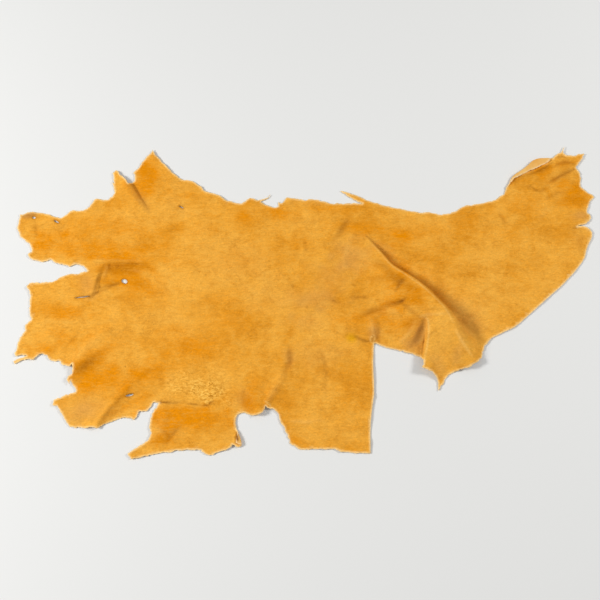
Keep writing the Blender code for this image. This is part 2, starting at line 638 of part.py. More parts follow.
def leather():
    material = bpy.data.materials.new("leather")
    material.use_nodes = True
    shader = material.node_tree.nodes["Principled BSDF"]
    shader.inputs["Base Color"].default_value = LEATHER_COLOUR
    shader.inputs["Roughness"].default_value = LEATHER_ROUGHNESS
    shader.inputs["Metallic"].default_value = 0.0
    return material


def build_hide():
    """The hide's underside as a sheet, given its thickness by a Solidify modifier."""
    shape = Shape()
    loop = outline_loop(shape)
    holes = hole_loops(shape)
    flat, triangles = hide_triangles(loop, holes, inner_points(shape, loop, holes))
    verts = shape.lifted(flat)
    middle = (verts.min(axis=0) + verts.max(axis=0)) / 2
    verts[:, :2] -= middle[:2]
    mesh = bpy.data.meshes.new("hide")
    mesh.from_pydata([tuple(vert) for vert in verts], [], triangles)
    mesh.update()
    mesh.shade_smooth()
    hide = bpy.data.objects.new("hide", mesh)
    bpy.context.scene.collection.objects.link(hide)
    hide.data.materials.append(leather())
    thick = hide.modifiers.new("thickness", "SOLIDIFY")
    thick.thickness = THICKNESS
    thick.offset = 1.0
    return hide


for old in list(bpy.data.objects):
    bpy.data.objects.remove(old)
build_hide()
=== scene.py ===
# %% [markdown]
# # Half of a tanned hide, laid out on the floor
# This lesson dresses one sheet of soft, gold-orange suede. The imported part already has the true
# outline, the holes and the main folds, so we load it first and never change its size. What is left
# to us is what the hand and the eye notice next: small creases, torn edges, the nap and the colour.

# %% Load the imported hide
from math import cos, pi, radians, sin

import bmesh
import bpy
import numpy as np
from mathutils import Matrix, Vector, noise
from mathutils.kdtree import KDTree


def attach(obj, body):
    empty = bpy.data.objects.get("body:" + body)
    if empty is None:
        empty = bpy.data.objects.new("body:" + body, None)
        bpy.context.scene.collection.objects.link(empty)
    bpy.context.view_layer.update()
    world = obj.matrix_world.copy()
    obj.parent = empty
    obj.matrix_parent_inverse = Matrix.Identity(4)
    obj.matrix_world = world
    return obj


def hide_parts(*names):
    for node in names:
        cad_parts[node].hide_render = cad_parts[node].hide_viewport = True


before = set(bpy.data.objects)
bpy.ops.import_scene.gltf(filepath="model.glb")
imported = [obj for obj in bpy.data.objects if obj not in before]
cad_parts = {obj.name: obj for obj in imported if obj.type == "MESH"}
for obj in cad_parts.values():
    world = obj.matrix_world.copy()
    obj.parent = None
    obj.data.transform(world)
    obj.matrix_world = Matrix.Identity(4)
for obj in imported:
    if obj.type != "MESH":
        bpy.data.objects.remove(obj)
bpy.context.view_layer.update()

packed_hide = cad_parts["hide"]
MM = 0.001
print("the packed hide has", len(packed_hide.data.polygons), "triangles")

# %% [markdown]
# ## Reading places from the photograph
# Creases and stains are easiest to place by their column and row in the 600 by 600 photograph.
# The camera looked down at 70 degrees, so a place in the picture is one point of the floor. A raised
# part of the leather hides a floor point behind it, so we also work out, for any point of the hide,
# which floor point it covers. Both are then compared in real metres.

# %% The photograph's view
VIEW_TILT = radians(70.0)
PICTURE_CENTRE = 300.0
PICTURE_FOCUS = 833.3
CAMERA_DISTANCE = 2.7425
AIM = np.array((-0.02676, -0.02458))
CAMERA = np.array((AIM[0], AIM[1] - CAMERA_DISTANCE * cos(VIEW_TILT), CAMERA_DISTANCE * sin(VIEW_TILT)))


def picture_to_floor(column, row):
    """The floor point seen at a place in the photograph."""
    across = (column - PICTURE_CENTRE) / PICTURE_FOCUS
    up = (PICTURE_CENTRE - row) / PICTURE_FOCUS
    reach = sin(VIEW_TILT) / (sin(VIEW_TILT) - up * cos(VIEW_TILT))
    ahead = reach * (cos(VIEW_TILT) + up * sin(VIEW_TILT)) - cos(VIEW_TILT)
    return AIM + CAMERA_DISTANCE * np.array((reach * across, ahead))


def covered_floor(places):
    """The floor point that each place of the hide covers, seen from the camera."""
    stretch = CAMERA[2] / (CAMERA[2] - places[:, 2])
    return CAMERA[:2] + (places[:, :2] - CAMERA[:2]) * stretch[:, None]


print("the picture's middle is at", np.round(picture_to_floor(300, 300), 3))

# %% [markdown]
# ## One skin from the closed solid
# The solid is a thin closed shell: an upper skin, a lower skin and a narrow wall round the rim. Fine
# creases must bend both skins together, so we keep only the lower skin, work on that, and give the
# thickness back with a Solidify modifier. The rim wall meets each skin at a right angle, so splitting
# the mesh along its sharp edges sets the skins free.

# %% Keep the lower skin
WELD = 0.00001
RIM_ANGLE = radians(50.0)


def islands(mesh):
    """The groups of faces that hang together."""
    seen, groups = set(), []
    for start in mesh.faces:
        if start in seen:
            continue
        seen.add(start)
        group, waiting = [], [start]
        while waiting:
            face = waiting.pop()
            group.append(face)
            for edge in face.edges:
                for other in edge.link_faces:
                    if other not in seen:
                        seen.add(other)
                        waiting.append(other)
        groups.append(group)
    return groups


def corners(group):
    """The places of a group's corners, rounded so that they can be compared."""
    return {tuple(np.round(vert.co, 6)) for face in group for vert in face.verts}


def lower_skin(node):
    """The lower skin alone, joined again where a tight fold was as sharp as the rim."""
    skin = bmesh.new()
    skin.from_mesh(node.data)
    bmesh.ops.remove_doubles(skin, verts=skin.verts, dist=WELD)
    sharp = [e for e in skin.edges if len(e.link_faces) == 2 and e.calc_face_angle() > RIM_ANGLE]
    bmesh.ops.split_edges(skin, edges=sharp)
    groups = islands(skin)
    groups.sort(key=lambda group: sum(f.calc_area() * f.normal.z for f in group))
    main_corners = corners(groups[0])
    kept = set(groups[0])
    for group in groups[1:]:
        if corners(group) <= main_corners:
            kept.update(group)
    bmesh.ops.delete(skin, geom=[f for f in skin.faces if f not in kept], context="FACES")
    bmesh.ops.remove_doubles(skin, verts=skin.verts, dist=WELD)
    bmesh.ops.reverse_faces(skin, faces=skin.faces)
    return skin


skin = lower_skin(packed_hide)
LEATHER_AREA = sum(face.calc_area() for face in skin.faces)
print("one skin has", len(skin.faces), "faces and", round(LEATHER_AREA, 3), "square metres")

# %% [markdown]
# ## An even net over the skin
# The skin's flat areas are long uneven triangles, which would crumple badly. A tailor would chalk a
# square net on the leather. We do the same by cutting the skin along many upright planes, then
# dissolving the old diagonal edges wherever the leather is smooth.

# %% Cut the net
NET = 0.0168
SMOOTH_ANGLE = radians(4.0)
ON_NET = 0.00002
NET_SLACK = 0.01


def cut_net(mesh):
    """Cuts a mesh along upright planes, NET apart, in both directions."""
    for axis in (0, 1):
        normal = Vector((1.0 - axis, axis, 0.0))
        reach = max(abs(vert.co[axis]) for vert in mesh.verts)
        lines = int(reach / NET)
        for i in range(-lines, lines + 1):
            geometry = mesh.verts[:] + mesh.edges[:] + mesh.faces[:]
            bmesh.ops.bisect_plane(
                mesh, geom=geometry, dist=ON_NET, plane_co=normal * i * NET, plane_no=normal
            )


def off_net(edge, axis):
    """Whether either end of an edge lies off the cuts along one axis."""
    low, high = edge.verts[0].co[axis] / NET, edge.verts[1].co[axis] / NET
    return abs(low - round(high)) > NET_SLACK or abs(high - round(high)) > NET_SLACK


def drop_diagonals(mesh):
    """Removes the edges inside the net's squares where the leather is smooth, but none at the rim."""
    inside = []
    for edge in mesh.edges:
        if edge.verts[0].is_boundary or edge.verts[1].is_boundary:
            continue
        if edge.calc_face_angle() < SMOOTH_ANGLE and off_net(edge, 0) and off_net(edge, 1):
            inside.append(edge)
    bmesh.ops.dissolve_edges(mesh, edges=inside, use_verts=True, use_face_split=False)


cut_net(skin)
drop_diagonals(skin)
print("the net has", len(skin.faces), "cells")

# %% [markdown]
# ## Rounder folds
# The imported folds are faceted, and a real one is round. One level of Subdivision Surface rounds them
# and halves the net's squares. It would also shrink the outline, so each rim edge gets a full crease
# weight, which holds it in place. The finer mesh is then read back, because we go on shaping it.

# %% Round the facets
def rounded(mesh, name):
    """A finer copy of the skin, from one level of Subdivision Surface with its rim kept."""
    crease = mesh.edges.layers.float.new("crease_edge")
    for edge in mesh.edges:
        edge[crease] = 1.0 if edge.is_boundary else 0.0
    data = bpy.data.meshes.new(name)
    mesh.to_mesh(data)
    mesh.free()
    sheet = bpy.data.objects.new(name, data)
    bpy.context.scene.collection.objects.link(sheet)
    finer = sheet.modifiers.new("finer", "SUBSURF")
    finer.levels = finer.render_levels = 1
    seen = sheet.evaluated_get(bpy.context.evaluated_depsgraph_get())
    fine = bpy.data.meshes.new_from_object(seen)
    bpy.data.objects.remove(sheet)
    return fine


fine_mesh = rounded(skin, "hide_net")
print("the fine net has", len(fine_mesh.polygons), "faces")

# %% [markdown]
# ## The small creases
# Soft leather keeps the marks of how it was folded and carried. A crease is a narrow trough with the
# leather pushed up a little on both sides, and an old fold is a low ridge. We could sculpt them by
# hand, but a table is easier to correct: each crease is a line through a few places in the
# photograph, with the height of its middle and of its banks, its half width, and how much it is
# darkened. That darkness is partly dirt and pressing and partly painted shade, in the troughs and
# valleys, behind the long fold, under the lap and the tuck, below the turned strip and in the curl's
# gap. A darkness below zero paints a pale highlight along a ridge's top. Heights and widths are
# millimetres of the leather itself. The names say where each one lies: the tuck is the flat pleat on
# the left, the fan spreads from the round hole, the cluster lies left of the long fold, the nip is at
# the panel's upper corner, and the shanks are the legs' ends.

# %% The creases, as columns: column, row, middle mm, banks mm, half width mm, darkness
CREASES = {
    # Painted shadow under the tuck's edge.
    "under the tuck": (
        (92, 262.4, 0, 0, 6, 0), (97, 262.6, -1.4, 0.4, 6, 0.35), (106, 262.9, -1.4, 0.4, 6, 0.25),
        (118, 263.2, -1.8, 0.4, 6, 0.4), (128, 263.5, -2.2, 0.5, 6.5, 0.6),
        (137, 264, -2, 0.5, 6.5, 0.7), (142, 264.4, 0, 0, 6, 0.2),
    ),
    # Painted highlight along the tuck's lip.
    "tuck lip": (
        (91, 259.4, 0, 0, 8, 0), (100, 259.8, 0.6, 0, 8, -0.1), (120, 260.4, 0.6, 0, 8, -0.15),
        (136, 261.2, 0.6, 0, 8, -0.15), (146, 261.8, 0, 0, 8, 0),
    ),
    "ridge past the tuck": (
        (131, 270.6, 0, 0, 9, 0), (136.5, 270.8, 1.4, 0, 9, -0.25), (142.5, 271.6, 0, 0, 9, -0.1),
    ),
    # Painted shade in the tuck's fold.
    "beside the tuck fold": (
        (105, 264, 0, 0, 12, 0.15), (102, 271, -1.4, 0.8, 15, 0.25), (98.4, 278.5, -2.2, 1.2, 14, 0.75),
        (96, 286, -2.4, 1.2, 12, 0.7), (94.8, 291.5, -1.8, 1, 9, 0.45), (91.6, 296.2, 0, 0.5, 8, 0.5),
    ),
    "fan upper": (
        (97, 288.2, -1.4, 0.7, 8, 0.5), (106, 287, -3, 1.9, 10, 0.6), (113, 285.6, -3.6, 2, 11, 0.95),
        (120, 283.4, -2, 1, 9, 0.7),
    ),
    "fan lower": (
        (92, 296, 0, 0, 7.5, 0.4), (99, 292.4, -2.7, 1.6, 8.8, 0.6), (107, 289.4, -2.7, 1.6, 8.8, 0.5),
        (114, 287, -1.4, 0.8, 7.5, 0.2), (119, 285.6, 0, 0, 7.5, 0),
    ),
    "tuck dimple": (
        (108.6, 262.8, 0, 0, 8, 0.3), (110.2, 266, -2.4, 1, 9, 0.6), (110.4, 270, -1.6, 0.8, 9, 0.35),
        (109, 275, 0, 0, 9, 0),
    ),
    "tuck ridge": (
        (106, 264, 0, 0, 9, 0), (106.4, 269, 2.2, 0, 11, -0.2), (104, 276, 2.6, 0, 13, -0.2),
        (102, 283, 0, 0, 12, 0),
    ),
    # Painted shade on the steep side of the neck fold.
    "neck fold foot": (
        (129, 180, 0, 0, 23.4, 0.24), (133, 188, -2.2, 0.4, 28.6, 0.36),
        (138, 195.6, -2.4, 0.4, 28.6, 0.4), (143, 203, -2, 0.4, 24.7, 0.32),
        (148, 210.5, -1, 0.3, 19.5, 0.24), (153, 218, 0, 0, 12, 0),
    ),
    "fore tab": (
        (35.2, 221, 0, 0, 11.2, 0.2), (36.6, 226, -2.2, 1.2, 13.8, 0.35),
        (37.2, 233, -1.9, 1.1, 13.8, 0.25), (38.5, 240, 0, 0, 12.5, 0),
    ),
    "over the long fold": (
        (352, 219.5, 0, 0.4, 13, 0.1), (346.4, 223, -3.6, 2, 17, 0.6), (342, 229, -3.6, 2, 18, 0.65),
        (337, 236.4, -2.8, 1.4, 17, 0.5), (329, 243, 0, 0, 15, 0.1),
    ),
    "beside the long fold": (
        (357, 231, 0, 0, 14, 0), (350, 240, 2.4, 0, 18, -0.15), (346, 252, 3, 0, 20, -0.2),
        (345, 266, 2, 0, 20, -0.1), (349, 280, 0, 0, 16, 0),
    ),
    "middle stroke": (
        (302, 238, 0, 0, 11.2, 0), (305.6, 244, -2.4, 1.2, 12.5, 0.4),
        (306.4, 249, -2.4, 1.2, 12.5, 0.4), (305, 255, 0, 0, 11.2, 0),
    ),
    "middle nick": (
        (290.5, 285.5, 0, 0, 8.8, 0.2), (293, 286.4, -1.9, 0.8, 10, 0.55), (296, 286, 0, 0, 8.8, 0.1),
    ),
    "cluster stem": (
        (405.4, 298, 0, 0.6, 9, 0.6), (402, 301.2, -5.4, 2.6, 13, 1.4),
        (394, 304.6, -4.2, 2.6, 16, 0.6), (382, 308, -3.4, 2.4, 18, 0.5),
        (370, 312, -2.6, 1.8, 18, 0.6), (359, 319, 0, 0, 15, 0.1),
    ),
    "cluster right": (
        (401, 302, -1, 1, 9, 0.6), (407, 307.6, -2.6, 1.6, 15, 0.45), (413, 312.4, -2.8, 1.6, 16, 0.45),
        (420, 317, -1, 0.6, 12, 0.5),
    ),
    "dash left of the cluster": (
        (371, 299.6, 0, 0, 9, 0.1), (364, 297.6, -2.2, 1.4, 11, 0.7), (357, 297.4, -1.8, 1, 11, 0.5),
        (349, 299, 0, 0, 10, 0),
    ),
    "cluster upper": (
        (396, 290.6, 0, 0.6, 11, 0.4), (398.4, 286.4, -3.8, 2, 14, 0.9), (401.4, 282, -3.6, 2, 14, 0.9),
        (405.6, 278.4, 0, 0.6, 11, 0.4),
    ),
    "cluster ridge": (
        (362, 308, 0, 0, 11.2, 0), (368, 301, 3.5, 0, 13.8, 0), (376, 298.5, 4.1, 0, 13.8, 0),
        (386, 299.5, 3.2, 0, 13.8, 0), (396, 301.5, 2.4, 0, 12.5, 0), (402, 305, 0, 0, 11.2, 0),
    ),
    "cluster low ridge": (
        (362, 321, 0, 0, 15, 0), (370, 317.5, 2.8, 0, 16, -0.1), (382, 313.5, 3.4, 0, 16, -0.15),
        (393, 311, 2.6, 0, 15, -0.1), (402, 311, 0, 0, 13, 0),
    ),
    "far dash": (
        (326, 298, 0, 0, 10, 0), (333, 300.4, -2, 1.2, 11, 0.5), (340, 303, -1.8, 1, 11, 0.35),
        (346, 304, 0, 0, 10, 0),
    ),
    "short dash": (
        (350.6, 282.6, 0, 0, 8, 0.1), (353.6, 285, -1.8, 0.9, 9, 0.6), (357, 286, 0, 0, 8, 0.1),
    ),
    # Painted highlight along the cross fold's top.
    "cross fold": (
        (417.5, 318.6, 0, 0, 8, 0.1), (422.5, 315.8, 3.6, 0, 9, -0.4), (430, 314.6, 3.8, 0, 9, -0.4),
        (440, 314, 3, 0, 9, -0.4), (448, 313.4, 0, 0, 8, -0.2),
    ),
    "above the cross fold": (
        (420, 311.4, 0, 0, 9, 0.1), (427, 309.8, -1.6, 0, 10, 0.35), (437, 309.4, -1.6, 0, 10, 0.3),
        (445, 309, 0, 0, 9, 0.1),
    ),
    # Painted highlight along the second crest.
    "second crest": (
        (454, 326, 0, 0, 9, 0), (458, 334.5, 3.4, 0, 9, -0.6), (463, 343, 4, 0, 9, -0.7),
        (469, 352, 3, 0, 9, -0.5), (475, 359, 0, 0, 9, 0),
    ),
    # Painted highlight along the long fold's crest.
    "long crest": (
        (366, 238, 0, 0, 4.4, -0.1), (380, 253, 0.8, 0, 4.4, -0.5), (392, 266, 1, 0, 4.4, -0.8),
        (408, 276.2, 1, 0, 4.4, -0.9), (425, 288.7, 1, 0, 4.4, -0.9), (438, 300.7, 1, 0, 4.4, -0.8),
        (447.5, 312, 1, 0, 4.4, -0.7), (453, 323, 0, 0, 4.4, -0.4),
    ),
    # Painted shade on the flank behind the long fold's crest.
    "behind the long crest": (
        (366.6, 236.6, 0, 0, 5.5, 0.5), (381.4, 251.6, -1, 0, 6.5, 0.9),
        (393.4, 264.4, -1.2, 0, 6.5, 0.8), (409.6, 274, -1.2, 0, 7, 0.7), (427, 286.2, -1.4, 0, 9, 0.6),
        (440.6, 298.4, -1.6, 0, 14, 0.45), (453, 309, -1.6, 0, 20, 0.45), (461, 319, -1.4, 0, 24, 0.35),
        (470, 330, 0, 0, 24, 0.15),
    ),
    # Painted highlight along the lap's edge.
    "lap edge": (
        (421, 316.6, 0, 0, 6, -0.3), (427.5, 319, 0.6, 0, 6, -0.7), (429, 330, 0.8, 0, 6, -0.8),
        (427.6, 344, 0.8, 0, 6, -0.8), (425, 357, 0.6, 0, 6, -0.6), (423, 368, 0, 0, 6, -0.3),
    ),
    "hem roll": (
        (418, 318, 0, 0, 12, 0), (414.5, 324, 2.4, 0, 13, -0.2), (409.5, 333, 3, 0, 14, -0.4),
        (402, 340, 1.6, 0, 13, -0.3), (396, 344, 0, 0, 12, 0),
    ),
    # Painted shade in the valley beside the lap.
    "lapped valley": (
        (426, 314, 0, 0, 10, 0.2), (423.5, 322, -1.6, 0, 15, 0.7), (421, 330, -2, 0, 20, 0.9),
        (417, 338, -1.6, 0, 22, 0.7), (411, 345, 0, 0, 20, 0.4),
    ),
    "facet smear": (
        (448, 338, 0, 0, 15, 0), (452, 346, -1.9, 1.1, 17.5, 0.2), (457, 356, -1.9, 1.1, 17.5, 0.25),
        (460, 366, 0, 0, 16.2, 0.1),
    ),
    "stain crease": (
        (352, 335.4, 0, 0, 9, 0.2), (358, 338, -2.4, 1.6, 11, 0.8), (364, 340.8, -3, 1.8, 11, 1),
        (369.6, 342, -1.6, 0.9, 8, 0.9),
    ),
    # Painted highlight on the nip's ridge.
    "nip left": (
        (371.6, 343.2, 0, 0, 4.6, -0.6), (370.8, 340, 3, 0, 5.4, -1.3),
        (371.2, 337.4, 3.6, 0, 5.4, -1.5), (373.4, 335.6, 3.2, 0, 5, -1.4),
        (375.6, 336.4, 0, 0, 4.6, -0.5),
    ),
    "nip right": (
        (375, 335.8, 0, 0, 4.6, -0.4), (374.6, 338.4, 2.6, 0, 4.8, -0.9),
        (373.6, 341.6, 2, 0, 4.6, -0.9), (373.8, 343.6, 0, 0, 4.6, -0.5),
    ),
    # Painted shade in the nip's hollow.
    "nip hollow": (
        (373.4, 336.8, 0, 0, 4, 0.4), (372.8, 338.6, -2, 0, 4.4, 0.9), (372.4, 341, -1.6, 0, 4.2, 0.8),
        (372.6, 342.8, 0, 0, 4, 0.4),
    ),
    "nip ridge": (
        (369, 314, 0, 0, 14, 0), (371.4, 322, 3.4, 0, 15, -0.25), (372.6, 329, 5, 0, 14, -0.35),
        (373.2, 335, 3, 0, 11, -0.3), (373.4, 339, 0, 0, 9, 0),
    ),
    # Painted shade on the nip's shaded flank.
    "beside the nip": (
        (377, 318, 0, 0, 13, 0.2), (378, 325, -2, 0, 15, 0.55), (378.4, 332, -2.2, 0, 14, 0.7),
        (377.6, 338.4, -1, 0, 10, 0.8), (379.6, 342, 0, 0, 8, 0.3),
    ),
    "panel diagonal": (
        (322, 340, 0, 0, 12.5, 0), (330, 344.5, -1.6, 0.9, 15, 0.2), (338, 350.5, -1.9, 1.1, 15, 0.25),
        (344, 358, 0, 0, 13.8, 0),
    ),
    "panel upright": (
        (288, 346, 0, 0, 15, 0.1), (290, 354, -3, 2, 16, 0.5), (290.4, 362, -3.4, 2.4, 16, 0.6),
        (286, 371, -3, 2, 18, 0.45), (281, 379, 0, 0, 17, 0.1),
    ),
    "panel ridge": (
        (264.5, 406, 0, 0, 12, -0.2), (268, 400.5, 5, 0, 16, -0.25), (273.5, 391.5, 5.4, 0, 18, -0.25),
        (280, 381, 4.4, 0, 18, -0.1), (288, 370, 0, 0, 18, 0),
    ),
    "notch curl": (
        (264.6, 400.6, 0, 0, 4.4, -0.6), (266.6, 402.4, 2.6, 0, 5.4, -1.4),
        (269.4, 404.6, 3, 0, 5.4, -1.6), (271, 407, 0, 0, 5, -0.8),
    ),
    "panel line": (
        (319, 345, 0, 0, 12, 0), (324, 358, -2, 1.4, 14, 0.3), (327, 372, -2.2, 1.4, 14, 0.35),
        (326, 386, -1.8, 1.2, 14, 0.2), (322, 398, 0, 0, 12, 0),
    ),
    "panel level ridge": (
        (286, 421.8, 0, 0, 8.8, -0.1), (296, 421.4, 2.6, 0, 9, -0.4), (306, 422.4, 2.8, 0, 9, -0.4),
        (317, 420.8, 1.6, 0, 9, -0.2), (328, 420.2, 0, 0, 8.8, 0),
    ),
    "hind corner long": (
        (547, 184.4, 0, 0, 10, 0.2), (553.5, 180.6, -4.2, 2.8, 12, 0.8), (560, 176.6, -4.8, 3, 12, 0.9),
        (567, 172.8, -4.4, 2.8, 12, 0.85), (573.6, 169.6, -2.6, 1.4, 10, 0.8),
    ),
    "hind corner short": (
        (552, 168.4, 0, 0, 10, 0.2), (558.5, 164.4, -3.6, 2.2, 12, 0.6),
        (566, 162.4, -3.8, 2.4, 12, 0.7), (572, 163.6, -3, 1.6, 11.2, 0.6), (577, 165.6, 0, 0, 10, 0.2),
    ),
    "hind corner tip": (
        (554.5, 158.4, 0, 0, 8, 0.2), (559, 157, -2.8, 1.8, 9, 0.7), (564, 157.4, -2.4, 1.6, 9, 0.6),
        (569, 159.6, 0, 0, 7.5, 0.2),
    ),
    "hind wrinkle": (
        (524, 187, 0, 0, 10, 0.1), (531, 187.4, -2.6, 1.6, 11.2, 0.6), (538, 191, -3, 1.8, 11.2, 0.6),
        (544, 190, -2.4, 1.4, 11.2, 0.5), (549, 185.6, 0, 0, 10, 0.1),
    ),
    "hind wrinkle two": (
        (543, 201, 0, 0, 12.5, 0), (550, 197, -2.6, 1.6, 13.8, 0.4), (559, 193.4, -2.4, 1.6, 13.8, 0.4),
        (569, 190.6, 0, 0, 12.5, 0.1),
    ),
    "hind wrinkle three": (
        (497, 210, 0, 0, 11, 0), (501, 216, -2, 1.2, 12, 0.4), (505, 222, -2, 1.2, 12, 0.4),
        (512, 227, 0, 0, 11, 0.1),
    ),
    "hind wrinkle four": (
        (556, 205, 0, 0, 12, 0), (548, 210, 2.2, 0, 14, -0.1), (541, 217, 2.4, 0, 14, -0.1),
        (536, 226, 0, 0, 13, 0),
    ),
    "hind notch": (
        (579, 226.8, -0.6, 0.6, 6, 0.5), (575, 228, -2.2, 1.4, 8, 0.9), (570, 228.4, -1, 0.6, 8, 0.2),
        (563, 226.6, 0, 0, 8, 0),
    ),
    "shank line": (
        (157, 361, 0, 0, 11.2, 0), (144, 373, 2.2, 0, 12.5, 0), (130, 386, 3, 0, 12.5, 0),
        (118, 397, 3.2, 0, 12.5, 0), (108, 408.5, 3.5, 0, 12.5, 0), (99, 421, 2.7, 0, 12.5, 0),
        (93, 430, 1.9, 0, 12.5, 0),
    ),
    "flank scratch": (
        (82, 330, 0, 0, 7.5, 0), (76, 336.6, -1.9, 0.9, 8.8, 0.3), (70.5, 342, -1.9, 0.9, 8.8, 0.35),
        (65, 348.5, 0, 0, 7.5, 0.1),
    ),
    "scar": (
        (157.6, 402.8, -2.4, 0.8, 6.5, 1.6), (165, 402.6, -3, 1.8, 6.5, 1.5),
        (174, 402.6, -2, 1.6, 6, 0.9), (184, 403.6, -1.2, 1.2, 5.5, 0.4),
        (194, 404.2, -2.4, 1.8, 6, 1.2), (200, 405, -1.6, 1.4, 5.5, 0.5),
        (207.6, 405, -2.6, 1.8, 6.5, 1.2), (213.4, 400.8, -0.8, 0.8, 5, 0.7),
    ),
    "shank wrinkle": (
        (181, 425, 0, 0, 11.2, 0.1), (176, 431.6, -2.6, 1.6, 12.5, 0.6),
        (170, 439, -2.6, 1.6, 12.5, 0.5), (163, 447, 0, 0, 11.2, 0.1),
    ),
    "shank wrinkle two": (
        (162, 430, 0, 0, 10, 0.1), (168, 434.4, -2.2, 1.2, 11.2, 0.5), (174, 440, 0, 0, 10, 0.1),
    ),
    "shank flank": (
        (166, 408, 0, 0, 22, 0.1), (163, 418, 3.2, 0, 26, -0.1), (160, 430, 3.8, 0, 26, -0.1),
        (152, 440, 2.4, 0, 22, 0), (142, 447, 0, 0, 18, 0),
    ),
    "belly fold": (
        (72, 361, 0, 0, 18, 0), (80, 353, 5, 0, 24, -0.15), (92, 343, 6, 0, 26, -0.1),
        (104, 333, 4, 0, 26, 0), (116, 322, 0, 0, 22, 0),
    ),
    # Painted shade below the belly fold.
    "below the belly fold": (
        (76, 372, 0, 0, 16, 0.3), (84, 366, -1.6, 0, 24, 0.6), (95, 357, -1.6, 0, 26, 0.45),
        (106, 348, 0, 0, 24, 0.1),
    ),
    # A painted shadow line below the turned strip.
    "strip foot": (
        (507, 187, 0, 0, 6, 0.3), (521, 177.8, 0, 0, 7, 0.5), (535, 172.6, 0, 0, 8, 0.8),
        (545, 167.8, 0, 0, 8, 0.9), (552, 162.8, 0, 0, 6, 0.5),
    ),
    # Painted shade under the lap's edge.
    "under the lap": (
        (424.8, 333, 0, 0, 5, 0.4), (423.8, 341, 0, 0, 7, 1), (422.6, 351, 0, 0, 7, 0.9),
        (421.6, 360, 0, 0, 5, 0.3),
    ),
    # Painted shade in the gap under the curl.
    "curl gap": (
        (236.6, 432.4, 0, 0, 5, 0.8), (237, 436, 0, 0, 7, 1.5), (237.6, 439.6, 0, 0, 8, 1.5),
        (238.4, 441.4, 0, 0, 5, 0.8),
    ),
    "neck streak": (
        (163, 201, 0, 0, 12.5, 0), (172, 205, -1.4, 0.8, 13.8, 0.15), (186, 213, -1.4, 0.8, 13.8, 0.1),
        (198, 219, 0, 0, 12.5, 0),
    ),
    "back streak": (
        (282, 226, 0, 0, 11.2, 0), (300, 222, -1.4, 1.1, 12.5, 0.15), (318, 221, -1.6, 1.1, 12.5, 0.2),
        (333, 217, 0, 0, 11.2, 0),
    ),
    "shank mouth": (
        (154, 418, 0, 0, 8.8, 0.1), (158, 421, -1.9, 1.1, 10, 0.3), (159, 426, 0, 0, 8.8, 0),
    ),
}
print(len(CREASES), "creases in the table")

# %% [markdown]
# ## From a table to lines
# A curve through a few places must not swing past them, so each crease becomes a Hermite curve whose
# direction at a place comes from its neighbours. Its other columns blend along it, so a crease can
# start narrow and faint, grow, and fade again.

# %% Draw the creases on the floor plane
LINE_STEP = 0.003


def smooth_line(points):
    """A curve through a table's places, with its other columns blended along it."""
    points = np.asarray(points, float)
    ahead = np.gradient(points, axis=0)
    line = []
    for i in range(len(points) - 1):
        chord = points[i + 1] - points[i]
        steps = max(2, int(np.linalg.norm(chord[:2]) / LINE_STEP))
        for t in np.arange(steps) / steps:
            place = (2 * t**3 - 3 * t**2 + 1) * points[i] + (3 * t**2 - 2 * t**3) * points[i + 1]
            place[:2] += (t**3 - 2 * t**2 + t) * ahead[i, :2] + (t**3 - t**2) * ahead[i + 1, :2]
            line.append(place)
    line.append(points[-1])
    return np.array(line)


def crease_line(rows):
    """A crease on the floor plane, in metres: x, y, middle, banks, width, darkness."""
    stations = []
    for column, row, middle, banks, width, darkness in rows:
        place = picture_to_floor(column, row)
        stations.append((*place, middle * MM, banks * MM, width * MM, darkness))
    return smooth_line(stations)


def bell(ratio):
    """A smooth bump that is 1 at 0 and eases down to 0 at 1."""
    return 0.5 + 0.5 * np.cos(pi * np.clip(np.abs(ratio), 0.0, 1.0))


def near_line(line, places, reach):
    """Which places are within reach of a line, how far off each is, and the line's nearest row."""
    low, high = line[:, :2].min(axis=0) - reach, line[:, :2].max(axis=0) + reach
    close = np.nonzero(((places > low) & (places < high)).all(axis=1))[0]
    gaps = np.linalg.norm(places[close, None, :] - line[None, :, :2], axis=2)
    at = gaps.argmin(axis=1)
    return close, gaps[np.arange(len(close)), at], line[at]


crease_lines = {name: crease_line(rows) for name, rows in CREASES.items()}
print("the creases have", sum(len(line) for line in crease_lines.values()), "stations")

# %% [markdown]
# ## A finer net where the detail is
# The net's squares are now 8.4 mm wide. That is too coarse for a narrow trough, and for nicks of two
# or three millimetres in the torn rim. Making the whole net finer would waste faces on the smooth
# field, so we subdivide only the edges that lie near a narrow crease or touch the rim.

# %% Refine near creases and along the rim
WIDEST_REFINED = 0.0165
FINE_ENOUGH = 0.0050
RIM_STEP = 0.0030


def mesh_places(mesh):
    """All the points of a mesh, as rows of x, y and z."""
    flat = np.empty(len(mesh.vertices) * 3)
    mesh.vertices.foreach_get("co", flat)
    return flat.reshape(-1, 3)


def near_creases(places):
    """Marks the places that lie on a narrow crease."""
    seen = covered_floor(places)
    marked = np.zeros(len(places), bool)
    for line in crease_lines.values():
        close, gap, row = near_line(line, seen, line[:, 4].max())
        narrow = row[:, 4] < WIDEST_REFINED
        marked[close[narrow & (gap < row[:, 4])]] = True
    return marked


